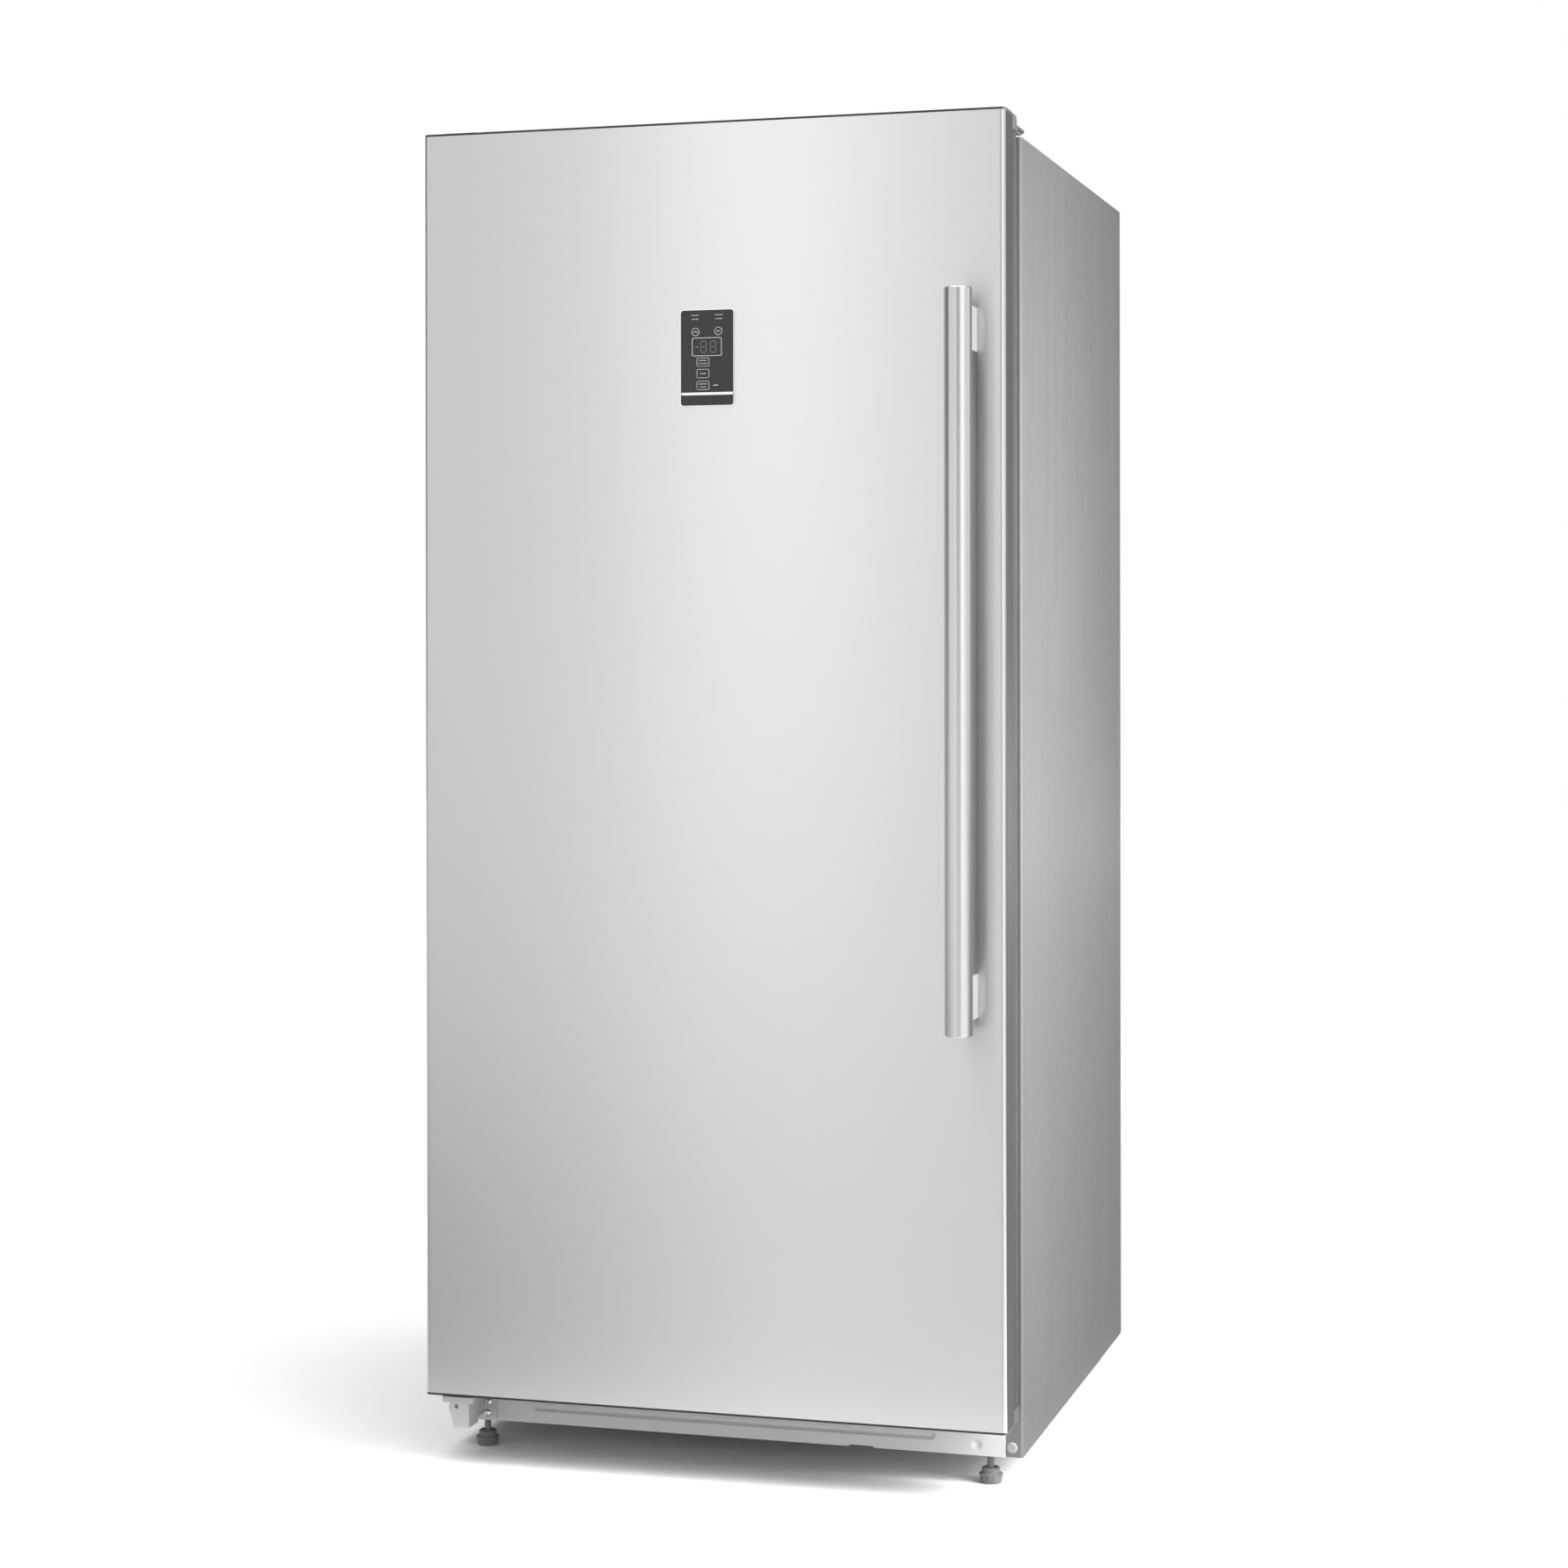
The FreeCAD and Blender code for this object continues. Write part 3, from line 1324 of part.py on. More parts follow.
def door_liner():
    """The moulded inner face of the door, a shallow tray with a raised ring around the bins."""
    side = f"{HALF} - liner_inset"
    body = prism("door_liner", "XY", rectangle((f"-({side})", side), (SKIN_BACK, "door_rear")),
                 ("door_low + cap_height", "door_top - cap_height"))
    shell(body, "liner_wall", faces(FORWARD))
    pad(body, "XZ", rectangle(("-dike_out", "dike_out"), ("dike_low", "dike_high")),
        ("door_rear", "door_rear + dike_height"))
    pocket(body, "XZ", rectangle(("-dike_in", "dike_in"), ("dike_low + 30", "dike_high - 30")),
           ("door_rear", "door_rear + dike_height"))
    return keep(body)


def door_gasket():
    """The magnetic gasket: a hollow square ring on the back of the door."""
    low, high = "gasket_low", "gasket_high"
    outer = box("gasket_outer", ("-gasket_out", "gasket_out"), ("door_rear", GASKET_BACK), (low, high))
    opening = box("gasket_opening", ("-gasket_out + gasket_width", "gasket_out - gasket_width"),
                  ("door_rear - 1", f"{GASKET_BACK} + 1"), (f"{low} + gasket_width",
                                                            f"{high} - gasket_width"))
    return keep(cut("door_gasket", outer, opening))


def door_bins():
    """Equal open-topped bins, one above another."""
    members = []
    for number in range(BIN_COUNT):
        low = f"bin_first + {number} * bin_pitch"
        body = prism(f"bin_{number}", "XY",
                     rectangle(("-bin_half", "bin_half"), ("door_rear", "door_rear + bin_deep")),
                     (low, f"{low} + bin_tall"))
        round_edges(body, "Z", "bin_round", lambda point: point.y > value("door_rear") + 1)
        shell(body, "bin_wall", faces(UP))
        members.append(body)
    return keep(group("door_bins", members))


def handle_bar():
    """The round pull bar, a tube along Z closed by rounded ends."""
    length = "bar_high - bar_low"
    outline = [
        ("0", "0"),
        ("bar_radius - bar_round", "0"),
        ("bar_radius", "bar_round"),
        ("bar_radius", f"{length} - bar_round"),
        ("bar_radius - bar_round", length),
        ("0", length),
        ("0", f"{length} - bar_end"),
        ("bar_radius - bar_wall", f"{length} - bar_end"),
        ("bar_radius - bar_wall", "bar_end"),
        ("0", "bar_end"),
    ]
    return keep(lathe("handle_bar", outline, ("bar_x", BAR_Y, "bar_low")))


def handle_post(label, low):
    """A block from the door to the bar, its end hollowed to the bar's curve."""
    high = f"{low} + post_tall"
    block = prism(f"{label}_block", "XY", rectangle(("bar_x - post_half", "bar_x + post_half"),
                                                    (BAR_Y, "door_front")), (low, high))
    bore(block, "XZ", ("bar_x", f"{low} + post_tall / 2"), "stud_radius",
         ("door_front - stud_length / 2", "door_front + 1"))
    tool = rod(f"{label}_saddle", "bar_radius", "post_tall + 2", ("bar_x", BAR_Y, f"{low} - 1"))
    return cut(label, block, tool)


def handle_studs():
    """The shoulder studs through the skin that the posts slide on."""
    members = [lathe(f"handle_stud_{index}", rectangle(("0", "stud_radius"),
                                                       ("-stud_length / 2", "stud_length / 2")),
                     ("bar_x", "door_front", level), "Y")
               for index, level in enumerate(POST_LEVELS)]
    return keep(group("handle_studs", members))


def panel_plate(label, inset, deep):
    body = prism(label, "XZ", rectangle((f"panel_left + {inset}", f"panel_right - {inset}"),
                                        (f"panel_low + {inset}", f"panel_high - {inset}")), deep)
    round_edges(body, "Y", f"panel_round - {inset} / 2")
    return body


def panel_bezel():
    """The thin metal rim around the control panel."""
    deep = ("door_front - panel_proud", "door_front")
    hole = panel_plate("bezel_hole", "rim", ("door_front - panel_proud - 1", "door_front + 1"))
    return keep(cut("panel_bezel", panel_plate("bezel_plate", "0", deep), hole))


def display_housing():
    """The box behind the controls that keeps the foam off the display board."""
    body = prism("display_housing", "XZ",
                 rectangle(("panel_left + window_inset", "panel_right - window_inset"),
                           ("panel_low + window_inset", "panel_high - window_inset")),
                 ("door_front + sheet + panel_back", "door_front + sheet + housing_depth"))
    shell(body, "housing_wall", faces(FORWARD))
    return keep(body)


def display_board():
    inset = "window_inset + board_inset"
    return keep(box("display_board", (f"panel_left + {inset}", f"panel_right - ({inset})"),
                    ("door_front + 8", "door_front + 8 + board"),
                    (f"panel_low + {inset}", f"panel_high - ({inset})")))


# ---------------------------------------------------------------- build

def build_case():
    for side, label in ((-1, "left_side_panel"), (1, "right_side_panel")):
        side_panel(side, label)
    hole_plug()
    top_panel()
    back_panel()
    machine_bay_plate()
    toe_beam()
    front_base_rail()
    weld_nuts()
    foam_insulation()
    inner_liner()
    rear_bumpers()
    main_board_cover()


def build_compartment():
    glass_shelves()
    shelf_trims()
    side_ledges()
    basket()
    evaporator_cover()
    evaporator()
    defrost_heater()
    lamp()
    fan_wheel("evaporator_fan", "fan_radius", ("0", "fan_y - fan_deep", "fan_z"), "Y")


def build_machine_bay():
    base_tray()
    compressor_grommets()
    compressor()
    condenser()
    fan_shroud()
    drain_pan()
    rear_grille()
    cord_gland()
    fan_wheel("condenser_fan", "bay_fan_radius", ("bay_fan_x", "bay_fan_y", "bay_fan_z"), "X")
    fan_motors()


def build_feet_and_rollers():
    for side, name in ((-1, "left"), (1, "right")):
        front_foot(side, f"front_foot_{name}")
        rear_roller(side, f"rear_roller_{name}")
    roller_brackets()
    roller_axles()


def build_hinges():
    top_hinge_bracket()
    top_hinge_cover()
    door_switch()
    bottom_hinge_bracket()
    hinge_screws()
    hinge_pins()
    hinge_bushes()


def build_door():
    door_skin()
    door_top_cap()
    door_bottom_cap()
    door_foam()
    door_liner()
    door_gasket()
    door_bins()
    handle_bar()
    keep(group("handle_posts", [handle_post("lower_post", "post_low"),
                                handle_post("upper_post", "post_high")]))
    handle_studs()
    panel_bezel()
    keep(panel_plate("control_panel", "rim", ("door_front - panel_proud", "door_front")))
    display_housing()
    display_board()


def check():
    """Stop with a plain message if any object failed or any sub-part is not a sound solid."""
    DOC.recompute()
    for item in DOC.Objects:
        if "Invalid" in item.State or "Error" in item.State:
            raise RuntimeError(f"{item.Name} failed: {item.State}")
    for part in SUBPARTS:
        if part.Shape.isNull() or not part.Shape.isValid() or not part.Shape.Solids:
            raise RuntimeError(f"{part.Label} is not a sound solid")


def write():
    os.makedirs("parts", exist_ok=True)
    for part in SUBPARTS:
        part.Shape.exportStep(f"parts/{part.Label}.step")


build_case()
build_compartment()
build_machine_bay()
build_feet_and_rollers()
build_hinges()
build_door()
check()
write()
print(f"{len(SUBPARTS)} sub-parts written")
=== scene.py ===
"""The looks of a single-door upright freezer with a brushed steel door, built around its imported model."""
import math

import bmesh
import bpy
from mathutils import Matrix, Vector

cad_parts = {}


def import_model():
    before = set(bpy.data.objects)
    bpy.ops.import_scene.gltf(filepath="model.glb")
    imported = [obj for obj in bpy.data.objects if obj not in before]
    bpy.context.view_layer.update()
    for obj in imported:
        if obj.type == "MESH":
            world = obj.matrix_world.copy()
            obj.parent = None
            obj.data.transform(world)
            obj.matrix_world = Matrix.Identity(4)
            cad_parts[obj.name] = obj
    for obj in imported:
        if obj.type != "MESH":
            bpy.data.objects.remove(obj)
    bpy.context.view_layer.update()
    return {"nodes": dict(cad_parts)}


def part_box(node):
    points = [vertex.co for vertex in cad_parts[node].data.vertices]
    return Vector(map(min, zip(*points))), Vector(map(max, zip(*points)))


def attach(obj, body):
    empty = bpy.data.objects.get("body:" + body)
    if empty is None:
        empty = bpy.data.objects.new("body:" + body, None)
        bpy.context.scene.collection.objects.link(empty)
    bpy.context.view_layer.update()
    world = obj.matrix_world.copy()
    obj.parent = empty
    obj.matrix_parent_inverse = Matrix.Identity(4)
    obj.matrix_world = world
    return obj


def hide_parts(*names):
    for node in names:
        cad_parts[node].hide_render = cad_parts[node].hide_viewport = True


MM = 0.001
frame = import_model()
nodes = frame["nodes"]


# ---------------------------------------------------------------- node helpers

def new_material(name):
    """An empty material with its node tree, its shader and object coordinates in metres."""
    material = bpy.data.materials.new(name)
    material.use_nodes = True
    tree = material.node_tree
    shader = tree.nodes["Principled BSDF"]
    coords = tree.nodes.new("ShaderNodeTexCoord")
    return material, tree, shader, coords.outputs["Object"]


def link(tree, source, target):
    tree.links.new(source, target)


def noise(tree, coords, stretch, detail=3.0, rough=0.55):
    """Fractal noise whose cells are 1 / stretch metres long on each axis."""
    mapping = tree.nodes.new("ShaderNodeMapping")
    mapping.inputs["Scale"].default_value = stretch
    link(tree, coords, mapping.inputs["Vector"])
    texture = tree.nodes.new("ShaderNodeTexNoise")
    texture.inputs["Scale"].default_value = 1.0
    texture.inputs["Detail"].default_value = detail
    texture.inputs["Roughness"].default_value = rough
    link(tree, mapping.outputs["Vector"], texture.inputs["Vector"])
    return texture.outputs["Fac"]


def even_noise(tree, coords, count, detail=3.0, rough=0.55):
    """Fractal noise with the same number of cells per metre on every axis."""
    return noise(tree, coords, (count, count, count), detail, rough)


def calc(tree, operation, *values):
    """A math node over values that are sockets or plain numbers."""
    node = tree.nodes.new("ShaderNodeMath")
    node.operation = operation
    for socket, value in zip(node.inputs, values):
        if isinstance(value, (int, float)):
            socket.default_value = value
        else:
            link(tree, value, socket)
    return node.outputs["Value"]


def weighted(tree, *parts):
    """The sum of sockets times their weights, given as (socket, weight) pairs."""
    shares = [calc(tree, "MULTIPLY", value, weight) for value, weight in parts]
    result = shares[0]
    for share in shares[1:]:
        result = calc(tree, "ADD", result, share)
    return result


def spread(tree, factor, low, high, start=0.3, end=0.7):
    """Maps start to end onto low to high, and holds the value at both ends."""
    node = tree.nodes.new("ShaderNodeMapRange")
    node.inputs["From Min"].default_value = start
    node.inputs["From Max"].default_value = end
    node.inputs["To Min"].default_value = low
    node.inputs["To Max"].default_value = high
    link(tree, factor, node.inputs["Value"])
    return node.outputs["Result"]


def mix_colour(tree, factor, first, second):
    """Blends two colours, each a socket or three numbers, by a factor socket."""
    node = tree.nodes.new("ShaderNodeMix")
    node.data_type = "RGBA"
    link(tree, factor, node.inputs["Factor"])
    for name, colour in (("A", first), ("B", second)):
        if isinstance(colour, tuple):
            node.inputs[name].default_value = (*colour, 1)
        else:
            link(tree, colour, node.inputs[name])
    return node.outputs["Result"]


def split_axes(tree, coords):
    node = tree.nodes.new("ShaderNodeSeparateXYZ")
    link(tree, coords, node.inputs["Vector"])
    return node.outputs


def vary_colour(tree, shader, factor, dark, light):
    """Lets the base colour wander between two colours."""
    link(tree, mix_colour(tree, factor, dark, light), shader.inputs["Base Color"])


def vary_roughness(tree, shader, factor, rough, less, more):
    """Lets the roughness wander from rough - less to rough + more."""
    link(tree, spread(tree, factor, rough - less, rough + more), shader.inputs["Roughness"])


def bump(tree, shader, height, strength, distance):
    node = tree.nodes.new("ShaderNodeBump")
    node.inputs["Strength"].default_value = strength
    node.inputs["Distance"].default_value = distance
    link(tree, height, node.inputs["Height"])
    link(tree, node.outputs["Normal"], shader.inputs["Normal"])


def grey(level):
    return (level, level, level)


def shade(colour, factor):
    return tuple(min(1.0, channel * factor) for channel in colour)


# ---------------------------------------------------------------- materials

def brushed_steel(name, colour, grain, rough, anisotropy, streak):
    """Steel brushed along one axis: grain is the number of scratches per metre on each axis."""
    material, tree, shader, coords = new_material(name)
    fine = noise(tree, coords, grain, 2.0, 0.6)
    wide = noise(tree, coords, tuple(count / 9 for count in grain), 2.0, 0.5)
    cloud = noise(tree, coords, (2.2, 2.2, 1.6), 2.0, 0.5)
    lines = weighted(tree, (fine, 0.6), (wide, 0.4))
    tone = spread(tree, lines, 0, 1)
    vary_colour(tree, shader, tone, shade(colour, 1 - streak), shade(colour, 1 + streak))
    shader.inputs["Metallic"].default_value = 1.0
    scratches = spread(tree, lines, -0.002, 0.002)
    patches = spread(tree, cloud, rough - 0.005, rough + 0.005)
    link(tree, calc(tree, "ADD", scratches, patches), shader.inputs["Roughness"])
    shader.inputs["Anisotropic"].default_value = anisotropy
    shader.inputs["Anisotropic Rotation"].default_value = 0.25
    tangent = tree.nodes.new("ShaderNodeTangent")
    tangent.direction_type = "RADIAL"
    tangent.axis = "Z"
    link(tree, tangent.outputs["Tangent"], shader.inputs["Tangent"])
    bump(tree, shader, fine, 0.003, 0.0001)
    return material


def plain_metal(name, colour, rough, speckle=900.0, spangle=60.0, depth=0.08):
    """Plated or cast metal with fine grain, larger crystals and handling marks."""
    material, tree, shader, coords = new_material(name)
    fine = even_noise(tree, coords, speckle, 2.0)
    large = even_noise(tree, coords, spangle)
    vary_colour(tree, shader, spread(tree, large, 0, 1), shade(colour, 0.93), shade(colour, 1.05))
    shader.inputs["Metallic"].default_value = 1.0
    vary_roughness(tree, shader, weighted(tree, (fine, 0.5), (large, 0.5)), rough, 0.07, 0.07)
    bump(tree, shader, fine, depth, 0.0002)
    return material


def paint_base(name, colour, rough, peel):
    """Paint with a faint unevenness of tone, and its orange peel for the caller to bump."""
    material, tree, shader, coords = new_material(name)
    fine = even_noise(tree, coords, peel)
    large = noise(tree, coords, (5.0, 5.0, 3.0))
    tone = spread(tree, weighted(tree, (fine, 0.55), (large, 0.45)), 0, 1)
    vary_colour(tree, shader, tone, shade(colour, 0.95), shade(colour, 1.04))
    vary_roughness(tree, shader, fine, rough, 0.05, 0.06)
    return material, tree, shader, coords, fine


def painted(name, colour, rough, peel=350.0, depth=0.12, coat=0.0):
    """Powder-coated or painted sheet with orange peel."""
    material, tree, shader, _, fine = paint_base(name, colour, rough, peel)
    shader.inputs["Coat Weight"].default_value = coat
    shader.inputs["Coat Roughness"].default_value = 0.15
    bump(tree, shader, fine, depth, 0.0002)
    return material


def distance_to(tree, coords, centre, half):
    """Distance in the X-Z plane from a level line that runs half to each side of its centre."""
    place = split_axes(tree, coords)
    aside = calc(tree, "ABSOLUTE", calc(tree, "ADD", place["X"], -centre[0]))
    past = calc(tree, "MAXIMUM", calc(tree, "ADD", aside, -half), 0.0)
    above = calc(tree, "ADD", place["Z"], -centre[1])
    squares = [calc(tree, "MULTIPLY", leg, leg) for leg in (past, above)]
    return calc(tree, "SQRT", calc(tree, "ADD", *squares))


def pressed(name, colour, rough, presses):
    """Painted sheet with pressed marks of drawn, sloping edges: centre, half length, floor, rim, depth."""
    material, tree, shader, coords, fine = paint_base(name, colour, rough, 500.0)
    height = calc(tree, "MULTIPLY", fine, 0.02)
    for centre, half, inner, outer, depth in presses:
        away = distance_to(tree, coords, centre, half)
        height = calc(tree, "ADD", height, spread(tree, away, -depth, 0.0, inner, outer))
    bump(tree, shader, height, 1.0, 0.001)
    return material


def pearl_paint(name, colour, rough):
    """The case's metallic grey paint: fine flakes under a satin lacquer, rolled in vertical streaks."""
    material, tree, shader, coords = new_material(name)
    flake = even_noise(tree, coords, 1400.0, 1.0, 0.7)
    mottle = noise(tree, coords, (230.0, 230.0, 160.0), 3.0, 0.65)
    rolled = noise(tree, coords, (60.0, 60.0, 1.2), 2.0, 0.5)
    cloud = noise(tree, coords, (4.0, 4.0, 2.5), 3.0, 0.5)
    tone = weighted(tree, (flake, 0.2), (mottle, 0.3), (rolled, 0.25), (cloud, 0.25))
    vary_colour(tree, shader, spread(tree, tone, 0, 1, 0.38, 0.62), shade(colour, 0.9), shade(colour, 1.08))
    shader.inputs["Metallic"].default_value = 0.25
    vary_roughness(tree, shader, mottle, rough, 0.05, 0.05)
    shader.inputs["Coat Weight"].default_value = 0.15
    shader.inputs["Coat Roughness"].default_value = 0.3
    bump(tree, shader, weighted(tree, (mottle, 0.7), (flake, 0.3)), 0.1, 0.0003)
    return material


def moulded(name, colour, rough, grain=1100.0, depth=0.1, sheen=0.0):
    """Moulded plastic or rubber with a fine spark-eroded grain and slight flow marks."""
    material, tree, shader, coords = new_material(name)
    fine = even_noise(tree, coords, grain, 2.0, 0.6)
    flow = noise(tree, coords, (14.0, 14.0, 9.0))
    vary_colour(tree, shader, spread(tree, flow, 0, 1), shade(colour, 0.95), shade(colour, 1.05))
    vary_roughness(tree, shader, weighted(tree, (fine, 0.6), (flow, 0.4)), rough, 0.06, 0.06)
    shader.inputs["Sheen Weight"].default_value = sheen
    bump(tree, shader, fine, depth, 0.0001)
    return material


def painted_front_shade(name, colour, other, level, rough):
    """Sheet or plastic that is one colour in front of a level on Y and another behind it: the darker front
    colour is painted shade, the colour behind is the part's own.
    """
    material, tree, shader, coords = new_material(name)
    fine = even_noise(tree, coords, 900.0, 2.0)
    flow = noise(tree, coords, (8.0, 8.0, 5.0))
    half_edge = 0.3 * MM
    behind = spread(tree, split_axes(tree, coords)["Y"], 0, 1, level - half_edge, level + half_edge)
    tone = spread(tree, flow, 0, 1)
    # The front colour is painted shade, not a colour of the part itself.
    front = mix_colour(tree, tone, shade(colour, 0.95), shade(colour, 1.05))
    rear = mix_colour(tree, tone, shade(other, 0.97), shade(other, 1.0))
    vary_colour(tree, shader, behind, front, rear)
    vary_roughness(tree, shader, fine, rough, 0.05, 0.05)
    bump(tree, shader, fine, 0.06, 0.0001)
    return material


def clear(name, colour, rough, ior):
    """Clear glass or plastic with faint smears on its surface."""
    material, tree, shader, coords = new_material(name)
    smear = noise(tree, coords, (9.0, 30.0, 9.0), 4.0)
    fine = even_noise(tree, coords, 600.0, 2.0)
    vary_colour(tree, shader, spread(tree, smear, 0, 1), shade(colour, 0.97), colour)
    vary_roughness(tree, shader, smear, rough, 0.0, 0.05)
    shader.inputs["Transmission Weight"].default_value = 1.0
    shader.inputs["IOR"].default_value = ior
    bump(tree, shader, fine, 0.02, 0.0001)
    return material


def foamed(name, colour):
    """Rigid polyurethane foam, its cut face full of small cells."""
    material, tree, shader, coords = new_material(name)
    cells = tree.nodes.new("ShaderNodeTexVoronoi")
    cells.inputs["Scale"].default_value = 700.0
    link(tree, coords, cells.inputs["Vector"])
    flow = even_noise(tree, coords, 12.0, 4.0)
    vary_colour(tree, shader, spread(tree, flow, 0, 1), shade(colour, 0.82), colour)
    vary_roughness(tree, shader, flow, 0.8, 0.0, 0.15)
    bump(tree, shader, cells.outputs["Distance"], 0.5, 0.0006)
    return material


def printed(name, colour, rough):
    """Screen-printed ink with thin spots."""
    material, tree, shader, coords = new_material(name)
    fine = even_noise(tree, coords, 2500.0, 2.0)
    vary_colour(tree, shader, spread(tree, fine, 0, 1), shade(colour, 0.88), colour)
    vary_roughness(tree, shader, fine, rough, 0.06, 0.06)
    bump(tree, shader, fine, 0.05, 0.00005)
    return material


# Grain counts per metre on each axis: few along the brushing, many across it.
DOOR_GRAIN = (9.0, 1500.0, 2600.0)
BAR_GRAIN = (260.0, 260.0, 1900.0)

# The toe beam's long groove and round dimple, in metres: centre, half length, floor and rim, depth in mm.
BEAM_MARKS = [((0.0, 0.0531), 0.2455, 0.0015, 0.0062, 2.2), ((0.301, 0.0456), 0.0, 0.001, 0.0066, 1.5)]

# Levels on Y, in metres, in front of which the liner and the caps are painted near black as painted shade.
LINER_SHADE_EDGE = -0.2853
CAP_SHADOW_EDGE = -0.3514

FINISHES = {
    "brushed_stainless": (brushed_steel, grey(0.6), DOOR_GRAIN, 0.25, 1.0, 0.008),
    "handle_steel": (brushed_steel, grey(0.6), BAR_GRAIN, 0.3, 0.6, 0.02),
    "case_paint": (pearl_paint, grey(0.15), 0.42),
    "light_paint": (painted, grey(0.6), 0.42, 500.0, 0.1),
    "beam_paint": (pressed, grey(0.66), 0.42, BEAM_MARKS),
    "zinc_steel": (plain_metal, grey(0.6), 0.38, 700.0, 45.0),
    "bright_steel": (plain_metal, grey(0.72), 0.16, 1500.0, 200.0, 0.03),
    "cast_bracket": (plain_metal, grey(0.46), 0.42, 500.0, 120.0, 0.12),
    "fin_aluminium": (plain_metal, grey(0.8), 0.3),
    "black_paint": (painted, grey(0.035), 0.4, 500.0, 0.2, 0.2),
    "white_plastic": (moulded, grey(0.8), 0.34),
    "grey_plastic": (moulded, grey(0.2), 0.42),
    "light_plastic": (moulded, grey(0.34), 0.4),
    "black_plastic": (moulded, grey(0.03), 0.45),
    "foot_plastic": (moulded, grey(0.16), 0.5, 800.0, 0.2),
    "clear_plastic": (clear, grey(0.93), 0.06, 1.49),
    "lamp_plastic": (moulded, grey(0.88), 0.25),
    "shelf_glass": (clear, (0.88, 0.95, 0.93), 0.01, 1.52),
    "gasket_rubber": (moulded, grey(0.2), 0.6, 600.0, 0.15, 0.1),
    "black_rubber": (moulded, grey(0.03), 0.65, 600.0, 0.2, 0.1),
    "panel_black": (moulded, grey(0.014), 0.25, 1600.0, 0.02),
    "circuit_board": (moulded, (0.02, 0.12, 0.06), 0.35, 500.0, 0.1),
    "foam": (foamed, (0.78, 0.7, 0.45)),
    # The liner's front edge is painted shade of the gap between door and case; behind the level it has the
    # liner's own light grey.
    "door_liner": (painted_front_shade, grey(0.045), grey(0.62), LINER_SHADE_EDGE, 0.36),
    # The caps' front strip is a painted shadow line of the gap along the door's top and bottom edge; behind
    # it is the caps' own dark grey.
    "cap_plastic": (painted_front_shade, grey(0.02), grey(0.1), CAP_SHADOW_EDGE, 0.36),
    "post_satin": (painted, grey(0.19), 0.35, 700.0, 0.06),
    "ink_white": (printed, grey(0.85), 0.4),
    "ink_dim": (printed, grey(0.16), 0.4),
}
MATERIALS = {name: maker(name, *values) for name, (maker, *values) in FINISHES.items()}

OWN_FINISH = {
    "toe_beam": "beam_paint",
    "handle_bar": "handle_steel",
    "handle_posts": "post_satin",
    "door_liner": "door_liner",
    "door_top_cap": "cap_plastic",
    "door_bottom_cap": "cap_plastic",
}


def finish_nodes():
    """Gives every CAD node the material of its slot, or its own where it differs from that slot."""
    for name, node in nodes.items():
        slot = node.data.materials[0].name.split(".")[0]
        node.data.materials.clear()
        node.data.materials.append(MATERIALS[OWN_FINISH.get(name, slot)])


# ---------------------------------------------------------------- mesh helpers

def add_piece(name, mesh, body, material):
    """Puts a finished mesh in the scene, riding on a body."""
    mesh.normal_update()
    data = bpy.data.meshes.new(name)
    mesh.to_mesh(data)
    mesh.free()
    piece = bpy.data.objects.new(name, data)
    bpy.context.scene.collection.objects.link(piece)
    piece.data.materials.append(MATERIALS[material])
    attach(piece, body)
    return piece


def rounded(across, up, width, height, radius, steps=6):
    """Points of a rounded rectangle about a centre, as (across, up) pairs."""
    points = []
    for quarter in range(4):
        turn = quarter * math.pi / 2
        sign_x = (1, -1, -1, 1)[quarter]
        sign_z = (1, 1, -1, -1)[quarter]
        centre = (across + sign_x * (width / 2 - radius), up + sign_z * (height / 2 - radius))
        for step in range(steps + 1):
            angle = turn + step / steps * math.pi / 2
            points.append((centre[0] + radius * math.cos(angle), centre[1] + radius * math.sin(angle)))
    return points


def circle(across, up, radius, steps=32):
    return [(across + radius * math.cos(2 * math.pi * step / steps),
             up + radius * math.sin(2 * math.pi * step / steps)) for step in range(steps)]


def bar_mark(first, second, width):
    """The four corners of a stroke between two points."""
    start, end = Vector(first), Vector(second)
    side = (end - start).normalized().orthogonal() * width / 2
    return [start + side, start - side, end - side, end + side]


def slab(mesh, outline, front, rear):
    """A flat print: an outline in X and Z, between two levels on Y."""
    near = [mesh.verts.new((x, front, z)) for x, z in outline]
    far = [mesh.verts.new((x, rear, z)) for x, z in outline]
    mesh.faces.new(near)
    mesh.faces.new(far[::-1])
    count = len(outline)
    for index in range(count):
        after = (index + 1) % count
        mesh.faces.new((near[index], far[index], far[after], near[after]))


def ring(mesh, outer, inner, front, rear):
    """A flat frame between two outlines with the same number of points."""
    loops = [[mesh.verts.new((x, level, z)) for x, z in outline]
             for outline, level in ((outer, front), (inner, front), (inner, rear), (outer, rear))]
    count = len(outer)
    for lap in range(4):
        here, there = loops[lap], loops[(lap + 1) % 4]
        for index in range(count):
            after = (index + 1) % count
            mesh.faces.new((here[index], there[index], there[after], here[after]))


# ---------------------------------------------------------------- screws and gasket

HEAD_TALL = 3 * MM
HEAD_STEPS = 72
HEAD_LAPS = 22
HEAD_TURN = math.radians(28)
TOUCH = 0.1 * MM

# Which way a screw's head faces, by the axis of its shank: forwards along Y, upwards along Z.
HEAD_FACES = {1: -1, 2: 1}


